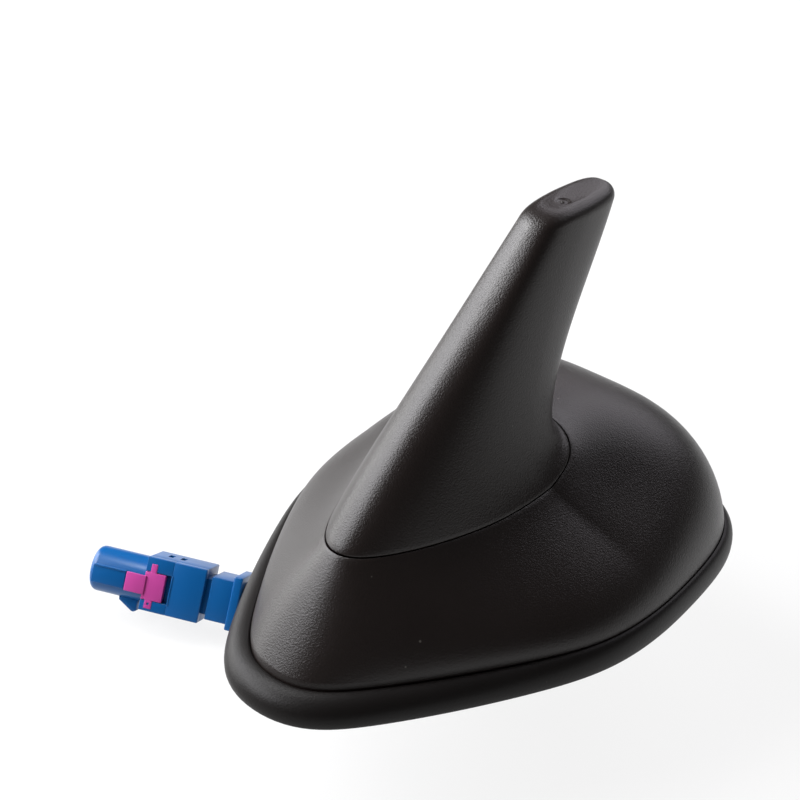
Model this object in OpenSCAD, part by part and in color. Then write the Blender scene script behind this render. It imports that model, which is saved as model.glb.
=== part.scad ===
// Roof aerial in the form of a swept fin on a low domed cover, with its base plate, hollow fixing
// stud, circuit board and the short lead to its plug. Millimetres. The nose points to -X, Z is up,
// Z = 0 is the roof that the gasket lies on, and the origin is on the stud's axis.

/* [Cover] */
// Stud axis to the cover's nose, at the crease above the gasket
nose_x = 52; // [49:0.5:56]
// Stud axis to the cover's tail
tail_x = 55.3; // [53:0.5:60]
// Stud axis to the cover's widest station
wide_x = 13; // [10:0.5:15]
// Half of the cover's width
half_w = 37.9; // [36.5:0.5:41]
// Flank shape of the nose in plan, where 2 is an ellipse and less is straighter
nose_flank = 1.42; // [1.35:0.01:1.5]
// Roundness of the nose in plan
nose_round = 1.54; // [1.45:0.05:1.8]
// Squareness of the tail in plan
tail_square = 3.3; // [2.8:0.1:3.5]
// Height of the crease between the cover and the gasket lip
crease_z = 6; // [5.6:0.1:7]
// Wall of the cover
cover_wall = 2.4; // [2:0.1:2.8]

/* [Seam between cover and fin] */
// Stud axis to the seam's front
seam_front_x = 37.6; // [36:0.5:40]
// Stud axis to the seam's rear
seam_rear_x = 15.3; // [14:0.5:18]
// Half width inside the seam
seam_half_w = 16.1; // [15:0.2:18]
// Height of the seam at its front
seam_front_z = 23.6; // [22:0.5:25.5]
// Height of the seam at its sides
seam_side_z = 25.4; // [24:0.5:27]
// Height of the seam at its rear
seam_rear_z = 32.1; // [30.5:0.5:34]
// Gap that shows as the dark line round the fin
seam_gap = 0.2; // [0.15:0.05:0.4]

/* [Fin] */
// Stud axis back to the front of the tip
tip_front_x = 10.5; // [8:0.5:13]
// Stud axis back to the rear of the tip
tip_rear_x = 34.2; // [33:0.5:38]
// Height of the tip's front edge
tip_front_z = 72.4; // [65:1:80]
// Height of the tip's rear edge
tip_rear_z = 73.3; // [65:1:81]
// Half of the tip's thickness
tip_half_w = 5; // [4.4:0.1:5.4]
// Edge radius round the tip
tip_edge = 2.4; // [1.5:0.1:2.8]
// Wall of the fin
fin_wall = 2; // [1.6:0.1:2.2]
// Depth of the snap skirt below the seam
skirt_depth = 5; // [4.5:0.5:7]
// Wall of the snap skirt
skirt_wall = 1.4; // [1.2:0.1:1.8]
// How far the snap bead stands out of the skirt
bead = 0.6; // [0.4:0.1:0.8]

/* [Gasket] */
// Height of the lip where it meets the cover
lip_h = 5.1; // [4.6:0.1:5.4]
// Width of the lip at the nose
lip_nose = 4.9; // [4:0.2:6]
// Width of the lip at the sides
lip_side = 1.8; // [1.6:0.1:3]
// Width of the lip at the tail
lip_tail = 3.6; // [2.8:0.1:4.5]
// Thickness of the web under the base plate
web_t = 1.6; // [1.4:0.1:2]
// Thickness of the roof that the aerial is clamped to
roof_t = 1.2; // [0.8:0.1:2]

/* [Base plate and stud] */
// Thickness of the die cast base plate
plate_t = 3; // [2.6:0.2:3.6]
// Outer diameter of the fixing stud
stud_d = 14; // [13:0.5:15]
// Cable bore of the stud
stud_bore = 7; // [6:0.5:8]
// How far the stud reaches below the roof
stud_drop = 12; // [11:0.5:18]
// Width across flats of the stud's head
stud_af = 19; // [18:0.5:20]
// Thickness of the stud's head
stud_head_t = 3.5; // [3:0.1:3.8]
// Width across flats of the nut
nut_af = 22; // [20:0.5:24]
// Thickness of the nut, with its flange
nut_t = 6; // [5:0.5:7]
// Diameter of the claw washer
washer_d = 27; // [26:0.5:30]
// Thickness of the claw washer
washer_t = 1.5; // [1.2:0.1:2]
// Number of claws on the washer
claw_count = 8; // [6:1:12]
// Diameter of the cover screws
cover_screw_d = 2.9; // [2.5:0.1:3.1]
// Length of the cover screws under the head
cover_screw_l = 9; // [8:0.5:10]

/* [Circuit board] */
// Height of the gap between the base plate and the board
board_lift = 3.6; // [3.4:0.1:4.5]
// Thickness of the board
board_t = 1.6; // [1:0.1:2]
// Length of the board
board_l = 70; // [69:1:72]
// Stud axis back to the board's rear end
board_rear = 40; // [39.5:0.5:42]
// Diameter of the board screws
board_screw_d = 2.5; // [2:0.1:2.6]
// Side of the square ceramic patch, which also sets the board's width
patch_w = 25; // [22:0.5:26]
// Thickness of the ceramic patch
patch_t = 4.5; // [4:0.5:6]
// Thickness of the board in the fin
fin_board_t = 1; // [0.8:0.1:1.2]

/* [Lead and plug] */
// Diameter of the coaxial lead
lead_d = 2.9; // [2.6:0.1:3.1]
// Diameter of the plug's front barrel
barrel_d = 9.6; // [9.2:0.2:10]
// Length of the plug's front barrel
barrel_l = 12; // [11:0.2:13]
// Height of the plug's block
block_h = 11.3; // [11:0.1:12]
// Width of the plug's block
block_w = 9.8; // [9.6:0.2:11]
// Length of the plug's block
block_l = 12.8; // [12:0.2:14]
// Length of the neck behind the block
neck_l = 5.8; // [5:0.2:7]
// Thickness of the flange behind the neck
flange_t = 1.9; // [1.4:0.1:2.2]
// Heading of the plug, turned from +X about Z
plug_heading = 117.4; // [110:0.2:125]
// Roll of the plug about its own axis
plug_roll = 28.8; // [20:0.2:40]
// Fall of the plug's mouth below level
plug_fall = -3.1; // [-8:0.1:0]

/* [Hidden] */
$fn = 48;

black = [0.13, 0.13, 0.135];
sides = 64;
slip = 0.05;      // a shaft or pin in its own hole
fit = 0.1;        // a piece seated in another
snap_gap = 0.25;  // the skirt in the cover's opening
inner_gap = 0.3;  // the base plate inside the cover's foot

// Slopes of the loft at the crease, the seam and the tip, in degrees above level
nose_slope = 52;
ridge_slope = 48.5;
blade_front = 46;
side_foot = 79.2;
side_seam = 46.8;
side_blade = 87.2;
tail_foot = 77;
tail_seam = 15.2;
blade_rear = 104.7;

plate_z = web_t;
plate_top = plate_z + plate_t;
board_z = plate_top + board_lift;
board_top = board_z + board_t;

// One of the loft's guides, a cubic in its own plane: distance out from the axis, and height
function guide(r0, z0, r1, z1, a0, a1, h0, h1) =
    let (l = norm([r1 - r0, z1 - z0]))
    [[r0, z0], [r0 - h0*l*cos(a0), z0 + h0*l*sin(a0)],
     [r1 + h1*l*cos(a1), z1 - h1*l*sin(a1)], [r1, z1]];
function on(g, t) = pow(1 - t, 3)*g[0] + 3*pow(1 - t, 2)*t*g[1] + 3*(1 - t)*t*t*g[2] + t*t*t*g[3];
function along(g, t) =
    pow(1 - t, 2)*(g[1] - g[0]) + 2*(1 - t)*t*(g[2] - g[1]) + t*t*(g[3] - g[2]);
function inset(g, t, d) = let (v = along(g, t), l = norm(v)) on(g, t) - d*[v[1], -v[0]]/l;

// A value that is f at the front, s at both sides and r at the rear, for a direction a
function around(f, s, r, a) = (f + r + 2*s)/4 + (r - f)/2*cos(a) + (f + r - 2*s)/4*cos(2*a);
function power(v, e) = sign(v)*pow(abs(v), e);
function mix(a, b, t) = a + (b - a)*t;
function mix3(a, m, b, t) = pow(1 - t, 2)*a + 2*t*(1 - t)*m + t*t*b;
function angle(i) = 360*i/sides;

// An exponent led over to an ellipse's 2 at the widest station, or at the nose
function ease_side(e, a) = 2 + (e - 2)*(1 - pow(abs(sin(a)), 8));
function ease_nose(e, a) = 2 + (e - 2)*(1 - pow(abs(cos(a)), 14));

// An egg in plan: front, widest station, rear, half width, and the three shape exponents
function egg(f, w, r, b, p, q, n, a) = cos(a) < 0
    ? [w + (w + f)*power(cos(a), 2/ease_side(p, a)), b*power(sin(a), 2/ease_nose(q, a))]
    : [w + (r - w)*power(cos(a), 2/ease_side(n, a)), b*power(sin(a), 2/n)];
function ring(f, s, r, w, p, q, n, grow, dz) = [for (i = [0:sides - 1])
    let (a = angle(i), e = egg(f[0] + grow, w, r[0] + grow, s[0] + grow, p, q, n, a))
    [e[0], e[1], around(f[1], s[1], r[1], a) + dz]];

cover_front = guide(nose_x, crease_z, seam_front_x, seam_front_z, nose_slope, ridge_slope, 0.33, 0.33);
cover_side = guide(half_w, crease_z, seam_half_w, seam_side_z, side_foot, side_seam, 0.33, 0.34);
cover_rear = guide(tail_x, crease_z, seam_rear_x, seam_rear_z, tail_foot, tail_seam, 0.69, 0.2);
seam_wide_x = 3.8;
seam_flank = 1.58;
seam_round = 1.79;
cover_flank = 1.68;
function cover_ring(t, d, grow = 0, dz = 0) = ring(inset(cover_front, t, d), inset(cover_side, t, d),
    inset(cover_rear, t, d), mix(wide_x, seam_wide_x, t), mix3(nose_flank, cover_flank, seam_flank, t),
    mix(nose_round, seam_round, t), tail_square, grow, dz);

tip_side_z = (tip_front_z + tip_rear_z)/2;
tip_square = 3;
fin_flank = 2.52;
fin_round = 2.06;
fin_front = guide(seam_front_x, seam_front_z, -tip_front_x, tip_front_z - tip_edge,
    ridge_slope, blade_front, 0.33, 0.33);
fin_side = guide(seam_half_w, seam_side_z, tip_half_w, tip_side_z - tip_edge,
    side_seam, side_blade, 0.21, 0.21);
fin_rear = guide(seam_rear_x, seam_rear_z, tip_rear_x, tip_rear_z - tip_edge,
    tail_seam, blade_rear, 0.22, 0.49);
seam_wide = (seam_wide_x + seam_front_x)/(seam_rear_x + seam_front_x);
function fin_ring(t, d, grow = 0, dz = 0) =
    let (f = inset(fin_front, t, d), r = inset(fin_rear, t, d))
    ring(f, inset(fin_side, t, d), r, mix(seam_wide, 0.5, t)*(r[0] + f[0]) - f[0],
    mix3(seam_flank, fin_flank, tip_square, t), mix3(seam_round, fin_round, tip_square, t),
    mix(tail_square, tip_square, t), grow, dz);

function flat(points, z) = [for (p = points) [p[0], p[1], z]];
function plan(points) = [for (p = points) [p[0], p[1]]];
function outward(points, i) = let (d = points[(i + 1) % sides] - points[(i + sides - 1) % sides])
    [d[1], -d[0]]/norm([d[0], d[1]]);
function swell(points, w, z) = [for (i = [0:sides - 1]) let (n = outward(points, i), o = w[i])
    [points[i][0] + o*n[0], points[i][1] + o*n[1], z]];
function circle_ring(r, z) = [for (i = [0:sides - 1]) [r*cos(angle(i)), r*sin(angle(i)), z]];
function middle(points, i = 0) = i < len(points) ? points[i]/len(points) + middle(points, i + 1)
    : [0, 0, 0];

// A solid through rings of points, either closed on itself or capped at both ends
function flatten(lists) = [for (l = lists) for (x = l) x];
function band(i, j, n) = [for (k = [0:n - 1]) let (m = (k + 1) % n)
    each [[i*n + k, j*n + k, j*n + m], [i*n + k, j*n + m, i*n + m]]];
module ring_loop(rings) {
    n = len(rings[0]);
    polyhedron(flatten(rings), flatten([for (i = [0:len(rings) - 1]) band(i, (i + 1) % len(rings), n)]));
}
module ring_stack(rings) {
    n = len(rings[0]);
    m = len(rings);
    polyhedron(concat(flatten(rings), [middle(rings[0]), middle(rings[m - 1])]),
        concat(flatten([for (i = [0:m - 2]) band(i, i + 1, n)]),
            [for (k = [0:n - 1]) [m*n, k, (k + 1) % n]],
            [for (k = [0:n - 1]) [m*n + 1, (m - 1)*n + (k + 1) % n, (m - 1)*n + k]]));
}

// The crease outline, and the screw lugs that stand inside the cover's foot
crease = cover_ring(0, 0);
lug_at = [8, 22, 42, 56];
lug_depth = 10.5;
lug_h = 8;
lug_spread = 2.5;
lug_hole = 0.62;   // place of the screw between the foot's wall and the lug's inner face
wall_share = 0.04; // least share of a lug's depth, which leaves the plain wall between the lugs
function lug(i) = max([wall_share, for (k = lug_at) 1 - pow(abs(i - k)/lug_spread, 2)]);
function lugged(t) =
    let (thin = cover_ring(t, cover_wall), deep = cover_ring(t, lug_depth))
    [for (i = [0:sides - 1]) [mix(thin[i][0], deep[i][0], lug(i)), mix(thin[i][1], deep[i][1], lug(i)),
        thin[i][2]]];
lug_t = (lug_h + plate_top - crease_z)/(seam_side_z - crease_z);
lug_foot_t = lug_t/3;
foot_in = cover_ring(0, cover_wall);
lug_ring = flat(lugged(0), plate_top);
screw_at = [for (k = lug_at) mix(plan(foot_in)[k], plan(lug_ring)[k], lug_hole)];

// Share of the fin's guides that the gap takes up, and the skirt's outer face
gap_t = seam_gap/(tip_front_z - seam_front_z);
function skirt(grow, dz) = fin_ring(gap_t, cover_wall + snap_gap, grow, dz - skirt_depth);
bead_rise = bead;
bead_top = bead_rise + 0.8;

module fin_shell() color(black) ring_stack(concat(
    [for (t = [0.94, 0.86, 0.74, 0.6, 0.45, 0.3, 0.18, 0.08]) fin_ring(t, fin_wall)],
    [skirt(-skirt_wall, skirt_depth), skirt(-skirt_wall, 0), skirt(0, 0), skirt(bead, bead_rise),
        skirt(bead, bead_top), skirt(0, bead_top + bead), skirt(0, skirt_depth)],
    [for (t = [gap_t, 0.04, 0.09, 0.15, 0.22, 0.3, 0.4, 0.5, 0.62, 0.74, 0.87, 1]) fin_ring(t, 0)],
    [for (k = [22.5, 45, 67.5, 90]) fin_ring(1, 0, -tip_edge*(1 - cos(k)), tip_edge*sin(k))]));

module base_cover() color(black) difference() {
    ring_loop(concat(
        [flat(crease, web_t)],
        [for (t = [0, 0.08, 0.17, 0.27, 0.38, 0.5, 0.62, 0.74, 0.87, 1]) cover_ring(t, 0)],
        [for (t = [1, 0.84, 0.68, 0.52]) cover_ring(t, cover_wall)],
        [lugged(lug_t), lugged(lug_foot_t), lug_ring, flat(foot_in, plate_top), flat(foot_in, web_t)]));
    bores(screw_at, cover_screw_d + 2*slip, plate_top - 1, screw_room + 1);
}

// Cord that lies on the snap bead, between the skirt and the underside of the cover
seal_h = 1.2;
seal_w = 0.7;
module fin_seal() color([0.2, 0.2, 0.2]) ring_loop([
    skirt(slip, bead_top + bead + fit), skirt(slip, bead_top + bead + fit + seal_h),
    skirt(slip + seal_w, bead_top + bead + fit + seal_h), skirt(slip + seal_w, bead_top + bead + fit)]);

// The gasket: a web under the base plate, and a lip that rolls up against the cover
lip_round = 1.9;
lip_foot = 1.3;      // height at which the lip is widest
lip_groove = 0.1;    // share of the lip's width that a small groove takes beside the cover
web_step = 0.4;      // the web stands this much off the roof
seat_in = 5.4;       // how far the lip's flat underside reaches in from the crease
hole_r = stud_d/2 + 4;
module roof_gasket() color([0.16, 0.16, 0.165]) {
    w = [for (i = [0:sides - 1]) around(lip_nose, lip_side, lip_tail, angle(i))];
    wall = [for (i = [0:sides - 1]) fit/2];
    ring_loop(concat(
        [circle_ring(hole_r, web_t), circle_ring(hole_r, web_step),
         flat(cover_ring(0, seat_in + web_step), web_step), flat(cover_ring(0, seat_in), 0),
         swell(crease, w*0.9, 0), swell(crease, w*0.98, web_step)],
        [for (k = [0, 12, 25, 40, 55, 70, 90]) swell(crease, w*mix(lip_groove, 1, pow(cos(k), 2/lip_round)),
            mix(lip_foot, lip_h, pow(sin(k), 2/lip_round)))],
        [swell(crease, wall, lip_h - 0.4), swell(crease, wall, web_t)]));
}

module bores(points, d, z, h) for (p = points) translate([p[0], p[1], z]) cylinder(d = d, h = h);

// The board's four screws stand beside the patch, and the board keeps clear of the cover's lugs
head_room = 0.7;
board_head_d = 4.6;
board_head_t = 1.6;
board_screw_l = 6;
hole_inset = 3.5;
board_w = patch_w + 2*(board_head_d/2 + head_room + hole_inset);
board_front = board_rear - board_l;
board_corner = 5;
board_gap = 0.5;
ear_x = board_front + 10;
boss_d = board_screw_d + 4.5;
board_holes = [for (x = [ear_x, board_rear - hole_inset]) for (y = [-1, 1])
    [x, y*(board_w/2 - hole_inset)]];
board_room = plan(swell(lugged(lug_t), [for (i = [0:sides - 1]) -board_gap], 0));

function plate_outline(gap) = plan(ring([-foot_in[sides/2][0], 0], [foot_in[sides/4][1], 0],
    [foot_in[0][0], 0], wide_x, nose_flank, nose_round, tail_square, -gap, 0));
rebate_w = 1.2;
rebate_h = 1.5;
rib_l = 36;
rib_w = 2;
rib_h = 2;
head_d = 5.2;
head_t = 1.4;
head_z = plate_z + head_t + fit;
screw_room = head_z + cover_screw_l + 0.5 - plate_top;
stud_seat = plate_top - 1.5;

module base_plate() color([0.62, 0.63, 0.65]) difference() {
    union() {
        translate([0, 0, plate_z + rebate_h]) linear_extrude(plate_t - rebate_h)
            polygon(plate_outline(inner_gap));
        translate([0, 0, plate_z]) linear_extrude(plate_t)
            polygon(plate_outline(inner_gap + rebate_w));
        bores(board_holes, boss_d, plate_top - 1, board_lift + 1);
        translate([0, 0, plate_top - 1]) cylinder(d = stud_af + 7, h = 1 + rib_h);
        for (x = [board_front + 14, board_rear - 22]) translate([x, -rib_l/2, plate_top - 1])
            cube([rib_w, rib_l, 1 + rib_h]);
    }
    translate([0, 0, plate_z - 1]) cylinder(d = stud_d + 2*slip, h = plate_t + rib_h + 2);
    translate([0, 0, stud_seat]) cylinder(d = stud_af/cos(30) + 2*fit, h = stud_head_t + 5, $fn = 6);
    bores(board_holes, board_screw_d + 2*slip, board_top - board_screw_l - 1, board_screw_l + 2);
    bores(screw_at, cover_screw_d + 2*fit, plate_z - 1, plate_t + 2);
    bores(screw_at, head_d + 2*fit, plate_z - 1, head_z - plate_z + 1);
}

stud_chamfer = 1;
module fixing_stud() color([0.75, 0.72, 0.6]) difference() {
    union() {
        translate([0, 0, stud_seat]) cylinder(d = stud_af/cos(30), h = stud_head_t, $fn = 6);
        translate([0, 0, stud_chamfer - stud_drop])
            cylinder(d = stud_d, h = stud_seat + 0.5 + stud_drop - stud_chamfer);
        translate([0, 0, -stud_drop])
            cylinder(d1 = stud_d - 2*stud_chamfer, d2 = stud_d, h = stud_chamfer, $fn = 64);
    }
    translate([0, 0, -stud_drop - 1])
        cylinder(d = stud_bore, h = stud_drop + stud_seat + stud_head_t + 2);
}

module stud_seal() color([0.22, 0.22, 0.22]) rotate_extrude()
    polygon([[stud_d/2 + slip, 0.2], [stud_d/2 + 2, 0.2], [stud_d/2 + 2.6, 0], [hole_r - 0.6, 0],
        [hole_r - fit, web_step], [hole_r - fit, web_t], [stud_d/2 + slip, web_t]]);

washer_z = -roof_t - washer_t;
claw = 2.4;
claw_rise = 0.7;
claw_root = 0.2;
relief_d = 3;
module claw_washer() color([0.7, 0.7, 0.72]) {
    difference() {
        translate([0, 0, washer_z]) cylinder(d = washer_d, h = washer_t);
        translate([0, 0, washer_z - 1]) cylinder(d = stud_d + 2*fit, h = washer_t + 2);
        for (i = [1:claw_count]) rotate(360*(i + 0.5)/claw_count)
            translate([washer_d/2, 0, washer_z - 1]) cylinder(d = relief_d, h = washer_t + 2);
    }
    for (i = [1:claw_count]) rotate(360*i/claw_count)
        translate([washer_d/2 - claw, 0, -roof_t - claw_root]) rotate([90, 0, 0])
            linear_extrude(claw, center = true) polygon([[0, 0], [claw, 0], [claw, claw_rise]]);
}

nut_z = washer_z - nut_t;
nut_flange = 1.4;
module fixing_nut() color([0.7, 0.7, 0.72]) difference() {
    union() {
        translate([0, 0, nut_z]) cylinder(d = nut_af/cos(30), h = nut_t, $fn = 6);
        translate([0, 0, washer_z - nut_flange]) cylinder(d = washer_d - 1, h = nut_flange);
    }
    translate([0, 0, nut_z - 1]) cylinder(d = stud_d + 2*slip, h = nut_t + 2);
}

cross_l = 0.6;      // cross recess, as shares of the head's diameter and thickness
cross_deep = 0.55;
cross_w = 0.8;
module pan_screw(d, l, head, thick) {
    cylinder(d = d, h = l);
    difference() {
        translate([0, 0, -thick]) cylinder(d = head, h = thick);
        translate([0, 0, -thick - 0.1]) for (a = [0, 90]) rotate(a)
            translate([-head*cross_l/2, -cross_w/2, 0]) cube([head*cross_l, cross_w, thick*cross_deep]);
    }
}

module cover_screws() color([0.6, 0.6, 0.6]) for (p = screw_at)
    translate([p[0], p[1], head_z]) pan_screw(cover_screw_d, cover_screw_l, head_d, head_t);

// Rubber ring in the rebate round the base plate's lower edge, inside the cover's foot
module perimeter_seal() color([0.24, 0.24, 0.24]) difference() {
    translate([0, 0, plate_z]) linear_extrude(rebate_h - fit) polygon(plate_outline(fit));
    translate([0, 0, plate_z - 1]) linear_extrude(rebate_h + 2)
        polygon(plate_outline(inner_gap + rebate_w - fit));
}

module sheet(l, w, r) {
    square([l - 2*r, w], center = true);
    square([l, w - 2*r], center = true);
    for (x = [-1, 1]) for (y = [-1, 1]) translate([x*(l/2 - r), y*(w/2 - r)]) circle(r);
}
module slab(l, w, r, h) linear_extrude(h) sheet(l, w, r);

holder_l = 22;
holder_w = 8;
holder_h = 7;
holder_end = 1;     // wall at each end of the holder's slot
holder_x = ear_x + 3;
ear_t = 2;
tab_l = 4;
tab_at = 6;
pin_y = 2;
pin_d = 1.2;
patch_x = board_rear - patch_w/2 - 1;

module main_board() color([0.1, 0.35, 0.2]) difference() {
    translate([0, 0, board_z]) linear_extrude(board_t) intersection() {
        translate([(board_rear + board_front)/2, 0]) sheet(board_l, board_w, board_corner);
        polygon(board_room);
    }
    bores(board_holes, board_screw_d + 2*fit, board_z - 1, board_t + 2);
    bores([[0, 0]], lead_d + 2, board_z - 1, board_t + 2);
    bores([[patch_x, pin_y]], pin_d + 2*fit, board_z - 1, board_t + 2);
    for (x = [-tab_at, tab_at])
        translate([holder_x + x - tab_l/2 - fit, -fin_board_t/2 - fit, board_z - 1])
            cube([tab_l + 2*fit, fin_board_t + 2*fit, board_t + 2]);
}

module board_screws() color([0.72, 0.72, 0.74]) for (p = board_holes) {
    ear = p[0] == ear_x ? ear_t : 0;
    translate([p[0], p[1], board_top + ear]) rotate([180, 0, 0])
        pan_screw(board_screw_d, board_screw_l + ear, board_head_d, board_head_t);
}

// Clip block that holds the upright board, with two ears under the front board screws
module board_holder() color([0.85, 0.84, 0.8]) difference() {
    window = 3;
    union() {
        translate([holder_x - holder_l/2, -holder_w/2, board_top]) cube([holder_l, holder_w, holder_h]);
        translate([ear_x - boss_d/2, -board_w/2 + hole_inset/4, board_top])
            cube([boss_d, board_w - hole_inset/2, ear_t]);
    }
    translate([holder_x - holder_l/2 + holder_end - fit, -fin_board_t/2 - fit, board_top - 1])
        cube([holder_l - 2*holder_end + 2*fit, fin_board_t + 2*fit, holder_h + 2]);
    bores(board_holes, board_screw_d + 2*fit, board_top - 1, ear_t + 2);
    for (x = [-1, 1])
        translate([holder_x + x*holder_l/3 - window/2, -holder_w/2 - 1, board_top + ear_t + 0.5])
            cube([window, holder_w + 2, holder_h/3]);
}

// Printed radiator that stands up inside the fin, with two tabs through the main board
board_clear = 1.5;   // between the fin's wall and the board in it
fin_board_outline = let (f = holder_x - holder_l/2 + holder_end, r = holder_x + holder_l/2 - holder_end,
        top = board_top + holder_h)
    [[f, board_top],
     for (x = [-tab_at, tab_at]) let (a = holder_x + x - tab_l/2, b = a + tab_l)
         each [[a, board_top], [a, board_z], [b, board_z], [b, board_top]],
     [r, board_top], [r, top + 2], [r + 6, top + 10],
     for (t = [0.2, 0.45, 0.7, 0.88]) inset(fin_rear, t, fin_wall + board_clear),
     for (t = [0.88, 0.1]) let (p = inset(fin_front, t, fin_wall + board_clear)) [-p[0], p[1]],
     [f, top + 3]];
module fin_board() color([0.15, 0.4, 0.3]) difference() {
    translate([0, fin_board_t/2, 0]) rotate([90, 0, 0]) linear_extrude(fin_board_t)
        polygon(fin_board_outline);
    for (t = [0.25, 0.5, 0.75]) let (a = inset(fin_rear, t, 0), b = inset(fin_front, t, 0))
        translate([(a[0] - b[0])/2, 0, (a[1] + b[1])/2]) rotate([90, 0, 0])
            cylinder(d = 2.4, h = fin_board_t + 2, center = true);
}

// Leaf that carries the feed from the main board to the upright board
spring_t = 0.3;
spring_w = 1.5;
module feed_spring() color([0.8, 0.65, 0.35]) {
    in = fin_board_t/2 + slip;
    out = holder_w/2 + fit;
    top = board_top + holder_h + slip;
    translate([holder_x + tab_at, 0, 0]) rotate([90, 0, 90]) linear_extrude(spring_w) polygon([
        [in, top + 2*spring_t], [in + spring_t, top + 2*spring_t], [in + 3*spring_t, top + spring_t],
        [out + spring_t, top + spring_t], [out + spring_t, board_top + spring_t],
        [out + 6*spring_t, board_top + spring_t], [out + 6*spring_t, board_top], [out, board_top],
        [out, top], [in + 2*spring_t, top]]);
}

pad_t = 0.5;
foil_t = 0.15;
patch_top = board_top + pad_t + patch_t;
module patch_pad() color([0.9, 0.9, 0.86]) difference() {
    translate([patch_x, 0, board_top]) slab(patch_w - 2, patch_w - 2, 1, pad_t);
    bores([[patch_x, pin_y]], pin_d + 2, board_top - 1, pad_t + 2);
}
module patch_antenna() color([0.78, 0.72, 0.6]) difference() {
    union() {
        translate([patch_x, 0, board_top + pad_t]) slab(patch_w, patch_w, 1, patch_t);
        translate([patch_x, 0, patch_top - fit]) slab(patch_w - 4, patch_w - 4, 0.5, foil_t + fit);
    }
    bores([[patch_x, pin_y]], pin_d + 2*fit, board_top, patch_t + 2);
}
module patch_pin() color([0.85, 0.85, 0.87]) {
    solder_d = 2*pin_d + 0.2;
    translate([patch_x, pin_y, board_z - 0.8]) cylinder(d = pin_d, h = patch_top + foil_t - board_z + 0.8);
    translate([patch_x, pin_y, patch_top + foil_t])
        cylinder(d1 = solder_d, d2 = 0.7*solder_d, h = 0.5, $fn = 32);
}

// The parts in front of the patch: the screened amplifier on one side, a filter on the other
can_w = 12;
can_d = 11;
can_h = 3;
can_t = 0.3;
can_x = patch_x - patch_w/2 - 1 - can_w/2;
can_y = can_d/2 + 4.5;
chip_w = 4;
filter_l = 7;
filter_w = 5;
filter_h = 2.4;
module shield_can() color([0.8, 0.8, 0.8]) difference() {
    translate([can_x, can_y, board_top]) slab(can_w, can_d, 0.8, can_h);
    translate([can_x, can_y, board_top - 1]) slab(can_w - 2*can_t, can_d - 2*can_t, 0.5, can_h + 1 - can_t);
    bores([for (x = [-1, 0, 1]) for (y = [-1, 1]) [can_x + x*can_w*0.28, can_y + y*can_d*0.22]],
        1.4, board_top + 1, can_h);
}
module amplifier_chip() color([0.15, 0.15, 0.16]) {
    leg = [0.8, 0.4, 0.3];
    translate([can_x - chip_w/2, can_y - chip_w/2, board_top + fit]) cube([chip_w, chip_w, 0.9]);
    for (i = [-1, 0, 1]) for (s = [-1, 1])
        translate([can_x + s*(chip_w/2 + leg[0]/4) - leg[0]/2, can_y + i*3*leg[1] - leg[1]/2, board_top])
            cube(leg);
}
module filter_block() color([0.55, 0.45, 0.35]) difference() {
    translate([can_x - filter_l/2, -can_y - filter_w/2, board_top]) cube([filter_l, filter_w, filter_h]);
    for (x = [-1, 1]) translate([can_x + x*filter_l*0.23, -can_y - filter_w, board_top + filter_h/2])
        rotate([-90, 0, 0]) cylinder(d = 1, h = 2*filter_w);
}

socket_h = 5;
core_d = 0.9;
module coax_socket() color([0.85, 0.75, 0.45]) difference() {
    union() {
        translate([0, 0, board_top]) cylinder(d = lead_d + 5, h = 1);
        translate([0, 0, board_top]) cylinder(d = lead_d + 2.4, h = socket_h);
    }
    translate([0, 0, board_top - 1]) cylinder(d = lead_d + 2*slip, h = socket_h);
    translate([0, 0, board_top]) cylinder(d = core_d + 2*fit, h = socket_h + 2);
}
bush_flange = 1;
bush_cone = 1;
bush_grip = 7;
exit_z = -stud_drop - bush_flange - bush_cone;
module lead_inside() color([0.1, 0.1, 0.1]) {
    translate([0, 0, exit_z]) cylinder(d = lead_d, h = board_top + socket_h - 1 - exit_z);
    translate([0, 0, board_top]) cylinder(d = core_d, h = socket_h + 0.6);
}
// Rubber bush that grips the lead in the stud's open end
module stud_bush() color([0.18, 0.18, 0.18]) rotate_extrude() polygon([
    [lead_d/2 + slip, -stud_drop + bush_grip], [stud_bore/2 - 0.4, -stud_drop + bush_grip],
    [stud_bore/2 - slip, -stud_drop + 0.8*bush_grip], [stud_bore/2 - slip, -stud_drop],
    [stud_bore/2 + 1.4, -stud_drop], [stud_bore/2 + 1.4, -stud_drop - bush_flange],
    [lead_d/2 + 0.7, exit_z], [lead_d/2 + slip, exit_z]]);

// The free lead: where it leaves the stud, then down and away under its own weight
lead_route = [[0, 0, -14], [0, 0, -16], [-0.1, 0.2, -18.2], [-0.4, 0.9, -20.4], [-1, 2.1, -22.4],
    [-1.9, 3.9, -24.1], [-3, 6.2, -25.3], [-4.3, 9, -25.9], [-5.8, 12.2, -26], [-7.3, 15.2, -25.6],
    [-8.8, 18.4, -24.7], [-10.1, 21.6, -23.3], [-11.3, 24.9, -21.9], [-12.5, 28.1, -21],
    [-13.42, 29.93, -20.78], [-15.26, 33.48, -20.56], [-17.56, 37.91, -20.29]];
plug_at = lead_route[len(lead_route) - 1];

function unit(v) = v/norm(v);
function bend(p, i) = let (n = len(p)) unit(p[min(i + 1, n - 1)] - p[max(i - 1, 0)]);
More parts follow.
